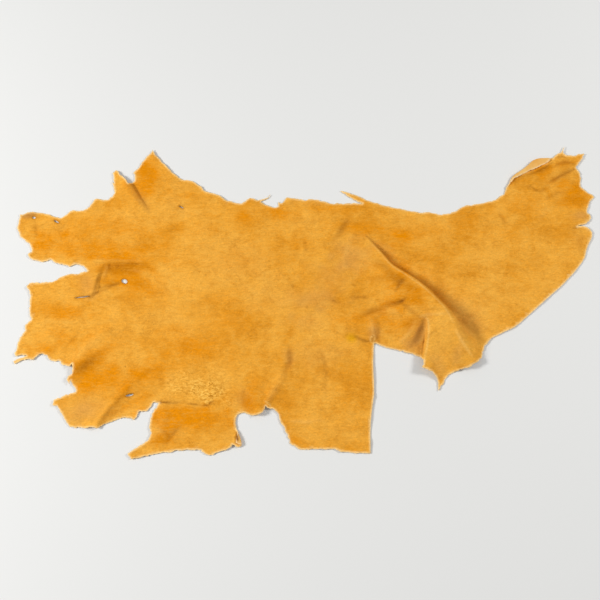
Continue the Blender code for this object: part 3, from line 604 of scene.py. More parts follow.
def refined(mesh):
    """The net, with shorter edges on its rim and on the narrow creases."""
    marked = near_creases(mesh_places(mesh))
    net = bmesh.new()
    net.from_mesh(mesh)
    net.verts.ensure_lookup_table()
    chosen = []
    for edge in net.edges:
        on_rim = edge.verts[0].is_boundary or edge.verts[1].is_boundary
        on_crease = marked[edge.verts[0].index] and marked[edge.verts[1].index]
        if (on_rim or on_crease) and edge.calc_length() > FINE_ENOUGH:
            chosen.append(edge)
    bmesh.ops.subdivide_edges(net, edges=chosen, cuts=1, use_grid_fill=True)
    rim = [edge for edge in net.edges if edge.is_boundary and edge.calc_length() > RIM_STEP]
    bmesh.ops.subdivide_edges(net, edges=rim, cuts=1)
    return net


hide_net = refined(fine_mesh)
print("the refined net has", len(hide_net.faces), "faces and", len(hide_net.verts), "points")

# %% [markdown]
# ## Waves in the leather
# A hide that was rolled up for storage never lies dead flat. It has slow waves a hand wide, low soft
# folds that wander and fade out, faint rumples and a fine pucker. Smooth noise gives all of these,
# and gives the same ones each time. A soft fold stands where its noise crosses zero.

# %% Waves and soft folds
SLOW_WAVE, SLOW_WAVE_LENGTH, SLOW_WAVE_BASE = 3.0 * MM, 0.14, 0.6
RUMPLE, RUMPLE_LENGTH = 1.5 * MM, 0.045
PUCKER, PUCKER_LENGTH = 0.5 * MM, 0.018
SOFT_FOLD, SOFT_FOLD_LENGTH, SOFT_FOLD_SHARE = 1.6 * MM, 0.075, 0.22
SOFT_FOLD_LAYER, SOFT_FOLD_ENDS_LAYER = 31.0, 37.0


def wave(places, length, layer):
    """Smooth noise from -1 to 1 with waves of the given length."""
    return np.array([noise.noise(Vector((x / length, y / length, layer))) for x, y, z in places])


def soft_folds(places):
    """Low ridges that wander over the leather and fade out, from 0 to 1."""
    off_line = np.abs(wave(places, SOFT_FOLD_LENGTH, SOFT_FOLD_LAYER)) / SOFT_FOLD_SHARE
    ends = np.clip(0.2 + 1.6 * wave(places, SOFT_FOLD_LENGTH, SOFT_FOLD_ENDS_LAYER), 0.0, 1.0)
    return bell(off_line) * ends


hide_net.normal_update()
hide_net.verts.index_update()
flat_places = np.array([vert.co[:] for vert in hide_net.verts])
flat_normals = np.array([vert.normal[:] for vert in hide_net.verts])
print("soft folds cover", round(float((soft_folds(flat_places) > 0.0).mean()), 2), "of the hide")

# %% [markdown]
# ## The rim and the holes
# The rim behaves unlike the field: it dries and lifts, it is torn, and its cut shows pale. All three
# fade over a few millimetres, so we need each point's distance to the outline and to the nearest
# hole. The rim's edges form closed loops, and the longest loop is the outline.

# %% Measure from the rim
def rim_loops(net):
    """The rim's loops of points: the outline first, and then the holes."""
    seen, loops = set(), []
    for start in net.verts:
        if not start.is_boundary or start in seen:
            continue
        seen.add(start)
        loop, waiting = [], [start]
        while waiting:
            vert = waiting.pop()
            loop.append(vert.index)
            for edge in vert.link_edges:
                other = edge.other_vert(vert)
                if edge.is_boundary and other not in seen:
                    seen.add(other)
                    waiting.append(other)
        loops.append(loop)
    return sorted(loops, key=len, reverse=True)


def gaps_to(chosen, places):
    """How far each place lies from the nearest chosen one."""
    tree = KDTree(len(chosen))
    for index in chosen:
        tree.insert(places[index], index)
    tree.balance()
    return np.array([tree.find(place)[2] for place in places])


loops = rim_loops(hide_net)
rim_gap = gaps_to(loops[0], flat_places)
hole_gap = gaps_to([index for loop in loops[1:] for index in loop], flat_places)
print(len(loops) - 1, "holes, and", len(loops[0]), "points on the outline")

# %% [markdown]
# ## How the leather lies
# Creases push the leather along its own normal, so they also work on the flanks of the folds. The
# slow waves, the rim and the nip at the panel's corner only lift it, since the floor holds it from
# below, and no point may sink under the floor.

# %% Bend the net
BANK_REACH = 2.6
RUMPLE_LAYER, PUCKER_LAYER, SLOW_WAVE_LAYER, RIM_LIFT_LAYER = 3.0, 7.0, 1.0, 5.0
RIM_LIFT, RIM_LIFT_LENGTH, RIM_LIFT_WIDTH = 3.0 * MM, 0.07, 0.022
NIP = (372.6, 339.0)
NIP_HEIGHT, NIP_RADIUS = 5.0 * MM, 0.016


def crease_lift(gap, row):
    """How high a crease stands at its middle and on its banks."""
    middle, banks, width = row[:, 2], row[:, 3], row[:, 4]
    return banks * bell(gap / (BANK_REACH * width)) + (middle - banks) * bell(gap / width)


def bent(places, normals, rim_gap):
    """The places, moved by the creases, the folds and the waves."""
    seen = covered_floor(places)
    lift = np.zeros(len(places))
    for line in crease_lines.values():
        close, gap, row = near_line(line, seen, line[:, 4].max() * BANK_REACH)
        lift[close] += crease_lift(gap, row)
    lift += RUMPLE * wave(places, RUMPLE_LENGTH, RUMPLE_LAYER)
    lift += PUCKER * wave(places, PUCKER_LENGTH, PUCKER_LAYER)
    lift += SOFT_FOLD * soft_folds(places)
    nip_gap = np.linalg.norm(seen - picture_to_floor(*NIP), axis=1)
    rise = SLOW_WAVE * (SLOW_WAVE_BASE + wave(places, SLOW_WAVE_LENGTH, SLOW_WAVE_LAYER))
    lifted_rim = np.maximum(wave(places, RIM_LIFT_LENGTH, RIM_LIFT_LAYER), 0.0)
    rise += RIM_LIFT * bell(rim_gap / RIM_LIFT_WIDTH) * lifted_rim
    rise += NIP_HEIGHT * bell(nip_gap / NIP_RADIUS)
    moved = places + normals * lift[:, None]
    moved[:, 2] = np.maximum(moved[:, 2] + rise, 0.0)
    return moved


lying_places = bent(flat_places, flat_normals, rim_gap)
print("the lower skin now rises to", round(lying_places[:, 2].max() / MM, 1), "mm")

# %% [markdown]
# ## The torn rim
# A hide's outline is cut with a skinning knife and then stretched, so it is full of nicks and soft
# fibres. Only the panel's straight cut and the rump's long edge are clean, and the small holes keep
# their shape. We push the rim's points about with coarse and fine noise together, and let the push
# fade over the next centimetre so that no face turns over.

# %% Tear the rim
NICK, NICK_LENGTH = 2.4 * MM, 0.0065
BITE, BITE_LENGTH = 3.6 * MM, 0.019
TEAR_FADE = 0.010
PANEL_CUT = ((374.0, 341.0), (373.0, 366.0), (372.4, 404.0), (370.5, 454.0))
RUMP_CUT = (
    (591.0, 233.0), (584.0, 252.0), (566.0, 277.0), (545.0, 300.0), (518.0, 320.0), (494.0, 335.0),
)
CLEAN_REACH, CLEAN_SHARE = 0.030, 0.12
HOLE_GUARD = 0.016
NICK_LAYER, BITE_LAYER = 11.0, 17.0


def torn(places, rim_gap, hole_gap):
    """The places, with those near the rough parts of the rim pushed about level."""
    rough = 1.0 - bell(hole_gap / HOLE_GUARD)
    for cut in (PANEL_CUT, RUMP_CUT):
        line = smooth_line([picture_to_floor(*place) for place in cut])
        close, gap, _ = near_line(line, places[:, :2], CLEAN_REACH)
        rough[close] *= 1.0 - (1.0 - CLEAN_SHARE) * bell(0.5 * gap / CLEAN_REACH)
    fade = bell(rim_gap / TEAR_FADE) * rough
    pushed = places.copy()
    for axis in (0, 1):
        push = NICK * wave(places, NICK_LENGTH, NICK_LAYER + axis)
        push += BITE * wave(places, BITE_LENGTH, BITE_LAYER + axis)
        pushed[:, axis] += push * fade
    return pushed


torn_places = torn(lying_places, rim_gap, hole_gap)
print("the rim moved by up to", round(np.abs(torn_places - lying_places).max() / MM, 1), "mm")

# %% [markdown]
# ## Where the colour changes
# The hide was smoked and dyed, so its gold is uneven: deep orange where the dye sat, grey-beige where
# the nap is rubbed, pale where it was stretched, brown where it was folded or soiled, one place whose
# surface flakes, and one yellow stain. Many brown rows, and one deep row, are painted shade instead:
# on the shaded flanks of folds, behind the long fold, by the lap and in the tuck. These places don't
# repeat, so we keep them as a table of soft oval patches.

# %% Patches, as columns: column, row, half length mm, half width mm, turn in degrees, strength
PATCHES = {
    "deep": (
        (149, 172, 64, 38, -50, 1.2), (142, 187, 50, 34, -40, 0.9), (78, 247, 190, 26, 0, 0.7),
        (60, 236, 90, 20, 4, 0.5), (118, 228, 150, 34, -6, 0.5), (135, 249, 120, 18, 0, 0.5),
        (118, 257, 120, 15, -2, 1), (80, 255, 70, 14, -8, 0.6), (122, 269, 90, 24, 0, 1.2),
        (138, 284, 75, 34, -20, 1), (112, 281, 60, 24, 10, 0.6), (152, 300, 60, 26, 0, 0.25),
        (243, 216.5, 34, 20, 0, 0.9), (281, 214, 44, 24, 0, 0.8), (330, 209, 90, 15, 0, 0.6),
        (45, 350, 50, 20, 0, 0.8), (240, 262, 100, 50, 0, 0.2), (230, 320, 90, 30, 0, 0.25),
        # The row at column 114, row 405 is painted shade on the shaded side of the shank's ridge.
        (114, 405, 60, 16, 47, 0.5), (252, 398, 34, 34, 0, 0.5), (165, 438, 44, 30, 0, 0.8),
        (42, 240, 44, 40, 0, 0.5), (180, 262, 60, 30, 0, 0.2), (415, 321, 30, 20, 0, 0.5),
        (273, 209, 30, 16, 0, 0.5), (302, 243, 44, 30, 30, 0.4), (357, 228, 75, 20, -8, 0.85),
        (402, 236, 56, 22, -12, 0.95), (430, 232, 110, 24, 0, 0.35), (392, 263, 75, 30, -42, 0.55),
        (398, 282, 80, 44, -30, 0.8), (398, 303, 60, 30, 10, 0.8), (420, 298, 50, 34, -42, 0.5),
        (398, 325, 60, 34, 0, 0.6), (372, 315, 70, 30, 12, 0.7), (340, 318, 60, 30, 0, 0.25),
        (440, 300, 60, 14, -42, 0.5), (66, 313, 62, 22, 0, 0.9), (63, 336, 46, 22, -20, 0.6),
        (98, 333, 60, 18, 30, 0.3), (84, 367, 76, 30, 35, 1.3), (98, 380, 90, 36, 20, 1.1),
        (110, 346, 60, 20, 30, 0.5), (150, 371, 85, 30, 14, 0.85), (130, 384, 55, 24, 20, 0.5),
        (136, 402, 55, 20, 20, 0.6), (192, 347, 90, 36, -6, 0.85), (176, 330, 60, 22, 0, 0.4),
        (176, 416, 100, 36, 0, 1.1), (208, 419, 75, 30, 0, 0.7), (160, 440, 34, 16, 20, 0.5),
        (226, 398, 50, 22, 30, 0.5), (252, 390, 60, 22, 70, 0.3), (250, 407, 36, 20, 0, 0.6),
        (574, 196, 55, 40, 0, 1.2), (543, 170, 44, 18, 25, 1.4), (525, 205, 100, 40, 10, 0.4),
        (566, 163, 44, 18, 0, 0.6), (556, 182, 50, 24, 30, 0.4), (505, 233, 70, 30, 0, 0.2),
        (346, 400, 60, 90, 0, 0.15), (205, 231, 90, 26, 0, 0.2), (188, 195, 26, 14, 0, 0.35),
        (462, 222, 60, 24, 0, 0.3), (222, 300, 60, 30, 0, 0.2), (296, 440, 30, 16, -30, 0.5),
    ),
    "dull": (
        (352, 256, 60, 60, 0, 0.6), (330, 203, 110, 10, 0, 0.3), (312, 300, 80, 40, 0, 0.45),
        (306, 322, 60, 30, 0, 0.3), (420, 332, 22, 50, -24, 0.9), (411, 344, 30, 24, 0, 0.6),
        (375, 332, 26, 24, 0, 0.7), (582, 216, 34, 18, 0, 0.8), (88, 408, 70, 36, 0, 0.45),
        (166, 428, 44, 44, 0, 0.4), (29.5, 215, 26, 13, 10, 1.3), (318, 356, 70, 50, 0, 0.25),
        (458, 352, 16, 50, -20, 0.45), (470, 322, 60, 44, -40, 0.35), (330, 280, 60, 60, 0, 0.3),
        (270, 300, 80, 50, 0, 0.1), (80, 415, 40, 30, 0, 0.3), (440, 368, 26, 44, 0, 0.35),
        (88, 284, 30, 40, 0, 0.6), (452, 300, 100, 26, -42, 0.2), (388, 254, 60, 16, -48, 0.5),
        (240, 262, 120, 60, 0, 0.15), (400, 352, 60, 14, -16, 0.3), (245, 400, 26, 40, 10, 0.55),
        (290, 358, 20, 40, 0, 0.4), (138, 195, 14, 50, 35, 0.5), (580, 240, 30, 40, 0, 0.2),
    ),
    "pale": (
        (202, 388, 95, 52, 0, 0.55), (440, 335, 50, 70, -20, 0.5), (160, 325, 200, 70, 0, 0.35),
        (206, 290, 170, 70, 0, 0.25), (190, 187, 80, 26, -24, 0.4), (120, 176, 24, 20, 0, 0.5),
        (48, 295, 90, 30, 0, 0.3), (110, 213, 150, 20, 4, 0.35), (330, 432, 130, 50, 0, 0.25),
        (300, 380, 60, 90, 0, 0.2), (25, 226, 34, 40, 0, 0.3), (62, 360, 60, 14, -20, 0.2),
        (580, 225, 40, 30, 0, 0.3), (540, 285, 90, 34, 36, 0.3), (433, 350, 34, 50, 0, 0.3),
        (365, 240, 20, 40, 20, 0.3), (270, 300, 90, 50, 0, 0.35), (330, 280, 60, 60, 0, 0.2),
    ),
    "flaky": (
        (199, 387, 86, 46, 0, 1), (214, 395, 50, 30, -20, 0.9),
    ),
    "stain": (
        (351.6, 338.7, 18, 13, 0, 1),
    ),
    # Brown patches: real brown blotches, and many rows of painted shade on shaded flanks, behind the
    # long fold, by the lap and in the tuck.
    "brown_and_shade": (
        (386, 268, 60, 14, -42, 0.8), (400, 281, 44, 16, -30, 0.9), (380, 279, 30, 12, 0, 0.5),
        (398, 302, 34, 12, 14, 0.6), (84, 367, 46, 22, 32, 0.8), (120, 268.6, 70, 24, 0, 1.1),
        (112, 285, 24, 8, 14, 0.5), (440, 300, 50, 10, -42, 0.5), (408, 329, 24, 16, 40, 0.5),
        (414, 297, 50, 26, -42, 0.35), (560, 176, 60, 16, 28, 0.35), (564, 163, 30, 14, 0, 0.4),
        (29.5, 215.5, 26, 12, 10, 0.9), (415, 321, 22, 16, 0, 0.6), (98, 279, 8, 30, -15, 0.5),
        (115, 405, 60, 9, 47, 0.35), (166, 438, 34, 14, 40, 0.4), (543, 170, 34, 9, 25, 1.2),
        (449, 312, 20, 9, -50, 0.7), (466, 326, 44, 20, -40, 0.5), (484, 342, 22, 14, -40, 0.5),
        (420, 331, 34, 10, 62, 0.4), (374, 334, 14, 16, 0, 0.5), (139, 285, 26, 16, 0, 0.4),
        (148, 176, 40, 16, -50, 0.3), (182, 345, 30, 12, 0, 0.35), (573, 199, 44, 16, 0, 0.4),
        (290, 356, 12, 34, 0, 0.45), (248, 402, 24, 26, 0, 0.6), (372, 312, 44, 14, 10, 0.6),
        (342, 229, 14, 32, -30, 0.6), (150, 371, 40, 12, 14, 0.25), (112, 281, 26, 10, 10, 0.4),
    ),
}
print({name: len(rows) for name, rows in PATCHES.items()})

# %% [markdown]
# ## One number per point
# A painted image would need its seams hidden and its detail chosen now. Attributes need neither: for
# each tone we store one number per point on the mesh, and the material mixes its colours by them. A
# little noise makes the ovals' edges uneven. The creases' darkness, partly dirt and partly painted
# shade, and their painted highlights are stored in the same way, and so are the darker leather round
# the holes and the pale rim.

# %% Paint the patches and the creases
PATCH_REACH = 0.6
PATCH_EDGE_LENGTH, PATCH_EDGE, PATCH_EDGE_LAYER = 0.038, 0.55, 23.0
TONE_SHARE = 1.1
PALE_RIM_WIDTH = 0.007
HOLE_EDGE_WIDTH, HOLE_EDGE_TONE = 0.007, 0.8


def patched(seen, uneven, patches):
    """The strength of a table's patches at each place, with uneven edges."""
    total = np.zeros(len(seen))
    for column, row, half_length, half_width, turn, strength in patches:
        off = seen - picture_to_floor(column, row)
        along = off[:, 0] * cos(radians(turn)) + off[:, 1] * sin(radians(turn))
        across = off[:, 1] * cos(radians(turn)) - off[:, 0] * sin(radians(turn))
        ratio = np.hypot(along / (half_length * MM), across / (half_width * MM))
        total += strength * bell(PATCH_REACH * ratio * (1.0 + PATCH_EDGE * uneven))
    return np.clip(total, 0.0, 1.0)


def creased(seen, sign):
    """How much the creases darken each place with dirt and painted shade, or with the other sign how
    much painted highlight lies on it.
    """
    tone = np.zeros(len(seen))
    for line in crease_lines.values():
        close, gap, row = near_line(line, seen, line[:, 4].max())
        tone[close] = np.maximum(tone[close], sign * row[:, 5] * bell(TONE_SHARE * gap / row[:, 4]))
    return tone


seen_places = covered_floor(torn_places)
edge_places = np.column_stack((seen_places, torn_places[:, 2]))
uneven_edge = wave(edge_places, PATCH_EDGE_LENGTH, PATCH_EDGE_LAYER)
tones = {name: patched(seen_places, uneven_edge, rows) for name, rows in PATCHES.items()}
hole_edges = HOLE_EDGE_TONE * bell(hole_gap / HOLE_EDGE_WIDTH)
# Crease tone: dirt, pressing and painted shade from the creases, and darker leather round the holes.
tones["crease"] = np.maximum(creased(seen_places, 1.0), hole_edges)
# Painted highlights along ridge tops, from the creases' darkness below zero.
tones["ridge_highlight"] = creased(seen_places, -1.0)
tones["raw_rim"] = bell(rim_gap / PALE_RIM_WIDTH)
for name, values in tones.items():
    print(name, "covers", round(float(values.mean()), 3), "of the hide")

# %% [markdown]
# ## From net to leather
# The bent net goes into a mesh, and a Solidify modifier gives it the two millimetres of real leather.
# The modifier can hand its faces to other material slots, so one sheet gets three finishes: the suede
# that faces up, the paler side beneath it, which shows where the leather is turned over, and the raw
# fibres of the cut rim.

# %% Make the hide
THICKNESS = 2.0 * MM
UNDERSIDE_SLOT, RIM_SLOT = 1, 2


def leather_sheet(net, places, tones):
    """The hide as one object, with its tones stored as attributes and its thickness given back."""
    data = bpy.data.meshes.new("leather_hide")
    net.to_mesh(data)
    net.free()
    data.vertices.foreach_set("co", places.ravel())
    for name, values in tones.items():
        layer = data.attributes.new(name, "FLOAT", "POINT")
        layer.data.foreach_set("value", values)
    data.update()
    data.shade_smooth()
    sheet = bpy.data.objects.new("leather_hide", data)
    bpy.context.scene.collection.objects.link(sheet)
    thick = sheet.modifiers.new("thickness", "SOLIDIFY")
    thick.thickness = THICKNESS
    thick.offset = 1.0
    thick.material_offset = UNDERSIDE_SLOT
    thick.material_offset_rim = RIM_SLOT
    return sheet


hide = leather_sheet(hide_net, torn_places, tones)
skin_triangles = sum(len(face.vertices) - 2 for face in hide.data.polygons)
print("the hide has", 2 * skin_triangles, "triangles on its two sides")

# %% [markdown]
# ## The suede finish
# Suede is leather with its fibres raised into a nap. Up close it is thousands of short fibres that
# scatter light, so it is very rough with a soft sheen, and its colour breaks into faint streaks that
# run along the back. A picture of leather would repeat over two metres, so we build the finish from
# noises of different size on Object coordinates, which are metres here. First come the colours, and
# a helper that adds one node at a time.

# %% Colours and node helpers
SPECULAR = 0.04
SHEEN_ROUGHNESS = 0.5
MIX_FACTOR, MIX_FIRST, MIX_SECOND, MIX_RESULT = 0, 6, 7, 2


def srgb(red, green, blue):
    """A colour as it looks on a screen, from 0 to 255, as the linear numbers that a shader needs."""
    parts = []
    for value in (red / 255, green / 255, blue / 255):
        parts.append(value / 12.92 if value <= 0.04045 else ((value + 0.055) / 1.055) ** 2.4)
    return (*parts, 1.0)


GOLD = srgb(230, 156, 44)
LIGHT_GOLD = srgb(240, 175, 70)
DARK_GOLD = srgb(210, 132, 22)
DEEP_ORANGE = srgb(226, 138, 2)
DULL_BEIGE = srgb(206, 148, 76)
PALE_CREAM = srgb(252, 214, 146)
# Brown for dirt and for painted shade in creases, folds and valleys.
SHADE_AND_DIRT_BROWN = srgb(140, 84, 20)
FLAKE_YELLOW = srgb(248, 198, 96)
FLAKE_SHADE = srgb(184, 118, 22)
# The colour of the painted highlight on ridge tops.
HIGHLIGHT_YELLOW = srgb(252, 208, 124)
STAIN_YELLOW = srgb(226, 160, 6)
UNDER_CREAM = srgb(238, 194, 118)
UNDER_GOLD = srgb(226, 162, 74)
RAW_CREAM = srgb(246, 216, 168)
SHEEN_GOLD = srgb(255, 214, 150)
SHEEN_CREAM = srgb(255, 232, 190)


class Finish:
    """A material whose nodes are added one at a time."""

    def __init__(self, name, roughness):
        self.material = bpy.data.materials.new(name)
        self.material.use_nodes = True
        self.tree = self.material.node_tree
        self.shader = self.tree.nodes["Principled BSDF"]
        self.shader.inputs["Roughness"].default_value = roughness
        self.shader.inputs["Specular IOR Level"].default_value = SPECULAR
        self.place = self.tree.nodes.new("ShaderNodeTexCoord").outputs["Object"]
        self.relief = None

    def link(self, source, socket):
        self.tree.links.new(source, socket)

    def stretched(self, scale, turn):
        """Object coordinates, turned about the upright axis and scaled apart for each axis."""
        mapping = self.tree.nodes.new("ShaderNodeMapping")
        mapping.inputs["Scale"].default_value = scale
        mapping.inputs["Rotation"].default_value = (0.0, 0.0, radians(turn))
        self.link(self.place, mapping.inputs["Vector"])
        return mapping.outputs["Vector"]

    def noise(self, scale, detail=3.0, roughness=0.5, distortion=0.0, place=None):
        texture = self.tree.nodes.new("ShaderNodeTexNoise")
        texture.inputs["Scale"].default_value = scale
        texture.inputs["Detail"].default_value = detail
        texture.inputs["Roughness"].default_value = roughness
        texture.inputs["Distortion"].default_value = distortion
        self.link(place or self.place, texture.inputs["Vector"])
        return texture.outputs["Fac"]

    def attribute(self, name):
        reader = self.tree.nodes.new("ShaderNodeAttribute")
        reader.attribute_name = name
        return reader.outputs["Fac"]

    def ramp(self, source, low, high, start=0.0, end=1.0):
        """Turns a value from low to high into one from start to end."""
        spread = self.tree.nodes.new("ShaderNodeMapRange")
        spread.inputs["From Min"].default_value = low
        spread.inputs["From Max"].default_value = high
        spread.inputs["To Min"].default_value = start
        spread.inputs["To Max"].default_value = end
        self.link(source, spread.inputs["Value"])
        return spread.outputs["Result"]

    def math(self, operation, first, second):
        node = self.tree.nodes.new("ShaderNodeMath")
        node.operation = operation
        for socket, value in zip(node.inputs, (first, second)):
            if isinstance(value, float):
                socket.default_value = value
            else:
                self.link(value, socket)
        return node.outputs["Value"]

    def mix(self, factor, first, second, blend="MIX"):
        mixer = self.tree.nodes.new("ShaderNodeMix")
        mixer.data_type = "RGBA"
        mixer.blend_type = blend
        for slot, value in ((MIX_FACTOR, factor), (MIX_FIRST, first), (MIX_SECOND, second)):
            if isinstance(value, (tuple, float)):
                mixer.inputs[slot].default_value = value
            else:
                self.link(value, mixer.inputs[slot])
        return mixer.outputs[MIX_RESULT]

    def tinted(self, colour, name, share, tint):
        """The colour, mixed with a tint where the mesh's attribute of that name is high."""
        return self.mix(self.math("MULTIPLY", self.attribute(name), share), colour, tint)

    def bump(self, height, distance, strength):
        """Adds one more bump on top of those before it."""
        node = self.tree.nodes.new("ShaderNodeBump")
        node.inputs["Distance"].default_value = distance
        node.inputs["Strength"].default_value = strength
        self.link(height, node.inputs["Height"])
        if self.relief:
            self.link(self.relief, node.inputs["Normal"])
        self.relief = node.outputs["Normal"]

    def finish(self, colour, sheen, tint):
        self.link(colour, self.shader.inputs["Base Color"])
        self.link(self.relief, self.shader.inputs["Normal"])
        self.shader.inputs["Sheen Weight"].default_value = sheen
        self.shader.inputs["Sheen Roughness"].default_value = SHEEN_ROUGHNESS
        self.shader.inputs["Sheen Tint"].default_value = tint
        return self.material


print("gold is", [round(part, 3) for part in GOLD[:3]])

# %% [markdown]
# ## Mottled gold
# Dye never takes evenly. We use patterns of six sizes, from clouds as wide as a hand down to single
# tufts. Four of them pull the gold towards its dark or its light shade, each one weakly, because one
# strong pattern would look like camouflage.

# %% The suede's patterns and ground colour
MOTTLES = (
    ("clouds", 0.50, 0.30, 0.50, DARK_GOLD),
    ("blotches", 0.48, 0.75, 0.50, DARK_GOLD),
    ("blotches", 0.48, 0.28, 0.60, LIGHT_GOLD),
    ("streaks", 0.50, 0.70, 0.42, DARK_GOLD),
    ("streaks", 0.48, 0.30, 0.35, LIGHT_GOLD),
    ("fibres", 0.50, 0.72, 0.40, DARK_GOLD),
    ("fibres", 0.48, 0.30, 0.30, LIGHT_GOLD),
)


def suede_patterns(suede):
    """The noises that the suede is made from, the widest first."""
    return {
        "clouds": suede.noise(5.5, 4.0, 0.55, 0.6),
        "blotches": suede.noise(19.0, 5.0, 0.62, 0.8),
        "streaks": suede.noise(1.0, 5.0, 0.65, 1.6, suede.stretched((16.0, 62.0, 40.0), -5.0)),
        "fibres": suede.noise(1.0, 5.0, 0.7, 1.8, suede.stretched((46.0, 140.0, 90.0), 9.0)),
        "flakes": suede.noise(1.0, 3.0, 0.6, 0.8, suede.stretched((110.0, 190.0, 150.0), -32.0)),
        "nap": suede.noise(230.0, 4.0, 0.75),
    }


def mottled_gold(suede, patterns):
    """Gold that each row of MOTTLES pulls towards its tint, from the low value to the high one."""
    colour = suede.mix(suede.ramp(patterns["clouds"], 0.35, 0.68), GOLD, LIGHT_GOLD)
    for name, low, high, most, tint in MOTTLES:
        colour = suede.mix(suede.ramp(patterns[name], low, high, 0.0, most), colour, tint)
    return colour


suede = Finish("gold_suede", roughness=0.92)
patterns = suede_patterns(suede)
colour = mottled_gold(suede, patterns)
print(len(MOTTLES), "mottles over the gold, made with", len(suede.tree.nodes), "nodes")

# %% [markdown]
# ## Patches and flakes
# The patches' attributes are smooth, and dye isn't. So the deep orange is broken up by the streaks
# and fibres, and the flaked place by a noise of its own, where light flakes lie over darker gaps.

# %% Tint the patches
def patch_tints(suede, patterns, colour):
    """The colour with its pale, dull, deep and stained places."""
    ragged = suede.math("ADD", suede.math("MULTIPLY", patterns["streaks"], 0.6), patterns["fibres"])
    ragged = suede.ramp(ragged, 0.58, 0.94, 0.35, 1.2)
    colour = suede.tinted(colour, "pale", 0.8, LIGHT_GOLD)
    colour = suede.tinted(colour, "dull", 0.75, DULL_BEIGE)
    colour = suede.mix(suede.math("MULTIPLY", suede.attribute("deep"), ragged), colour, DEEP_ORANGE)
    return suede.tinted(colour, "stain", 0.9, STAIN_YELLOW)


def flaked_share(suede):
    """How flaked each place is: uneven in the flaky patch, and nothing elsewhere."""
    broken = suede.ramp(suede.noise(30.0, 3.0, 0.6), 0.38, 0.58, 0.35, 1.0)
    return suede.math("MULTIPLY", suede.attribute("flaky"), broken)


def flake_tints(suede, patterns, flaked, colour):
    """The colour with light flakes and darker gaps between them."""
    flakes = suede.ramp(patterns["flakes"], 0.5, 0.62, 0.0, 0.75)
    gaps = suede.ramp(patterns["flakes"], 0.47, 0.36, 0.0, 0.75)
    for share, tint in ((0.1, FLAKE_YELLOW), (flakes, FLAKE_YELLOW), (gaps, FLAKE_SHADE)):
        colour = suede.mix(suede.math("MULTIPLY", flaked, share), colour, tint)
    return colour


flaked = flaked_share(suede)
colour = patch_tints(suede, patterns, colour)
colour = flake_tints(suede, patterns, flaked, colour)
print("with its patches the suede has", len(suede.tree.nodes), "nodes")

# %% [markdown]
# ## Fine wrinkles, painted shade and highlights
# Between the creases lie fine wrinkles, far too many for a table. A noise crosses its middle value
# along thin wandering lines, which is just the shape that they have. They are darkened a little with
# the same brown as the brown places and the creases, where it is partly dirt and partly painted shade.
# Ridge tops get a painted highlight, and the cut rim is pale.

# %% Draw the wrinkles, the painted shade and highlights, and the pale rim
def wrinkle_lines(suede, scale, turn, thin):
    """Thin wandering lines, from where a stretched noise crosses its middle value."""
    swirl = suede.noise(1.0, 2.0, 0.5, 1.2, suede.stretched(scale, turn))
    off_middle = suede.math("ABSOLUTE", suede.math("SUBTRACT", swirl, 0.5), 0.0)
    return suede.ramp(off_middle, thin, 0.0)


def fine_wrinkles(suede, patterns):
    """Long wrinkles in some places and short ones in others, broken up by the fibres."""
    long_ones = wrinkle_lines(suede, (11.0, 24.0, 16.0), 12.0, 0.035)
    long_places = suede.ramp(suede.noise(9.0, 3.0, 0.5), 0.42, 0.62)
    short_ones = wrinkle_lines(suede, (24.0, 62.0, 44.0), -24.0, 0.06)
    short_places = suede.ramp(patterns["blotches"], 0.46, 0.62)
    long_ones = suede.math("MULTIPLY", long_ones, long_places)
    short_ones = suede.math("MULTIPLY", short_ones, short_places)
    lines = suede.math("MAXIMUM", long_ones, short_ones)
    return suede.math("MULTIPLY", lines, suede.ramp(patterns["fibres"], 0.4, 0.6))


def shade_highlight_and_rim_tints(suede, patterns, lines, colour):
    """The colour with its darker wrinkles, its brown places and creases, partly painted shade, its
    painted highlights on ridges, and its pale rim.
    """
    fibres, flakes = patterns["fibres"], patterns["flakes"]
    # Brown patches, real brown and painted shade, broken up by the fibres.
    brown_and_shade = suede.math("MULTIPLY", suede.attribute("brown_and_shade"), suede.ramp(fibres, 0.35, 0.65, 0.15, 0.8))
    brown_and_shade = suede.math("MULTIPLY", brown_and_shade, suede.ramp(flakes, 0.38, 0.62, 0.45, 1.15))
    # The creases' darkness, partly dirt and partly painted shade.
    crease = suede.math("MULTIPLY", suede.attribute("crease"), suede.ramp(fibres, 0.3, 0.7, 0.4, 0.8))
    for share in (suede.math("MULTIPLY", lines, 0.13), brown_and_shade, crease):
        colour = suede.mix(share, colour, SHADE_AND_DIRT_BROWN)
    # Painted highlight along ridge tops.
    colour = suede.tinted(colour, "ridge_highlight", 0.4, HIGHLIGHT_YELLOW)
    return suede.tinted(colour, "raw_rim", 0.95, PALE_CREAM)


lines = fine_wrinkles(suede, patterns)
colour = shade_highlight_and_rim_tints(suede, patterns, lines, colour)
print("with its wear the suede has", len(suede.tree.nodes), "nodes")

# %% [markdown]
# ## The nap
# Each tuft of the nap leans its own way and catches a little more or less light. The colour is
# multiplied by a fine grain for that, and bumps of a millimetre or two make the surface as uneven as
# it feels to a finger. The wrinkles sink, so their height is below zero.

# %% Raise the nap
SUEDE_SHEEN = 0.03


def grained(suede, patterns, colour):
    """The colour, a little darker or lighter from tuft to tuft."""
    grain = suede.math("ADD", patterns["fibres"], patterns["flakes"])
    grain = suede.ramp(grain, 0.8, 1.2, 0.88, 1.11)
    shade = suede.math("MULTIPLY", suede.ramp(patterns["nap"], 0.3, 0.7, 0.9, 1.08), grain)
    grey = suede.tree.nodes.new("ShaderNodeCombineColor")
    for socket in grey.inputs:
        suede.link(shade, socket)
    return suede.mix(1.0, colour, grey.outputs["Color"], "MULTIPLY")


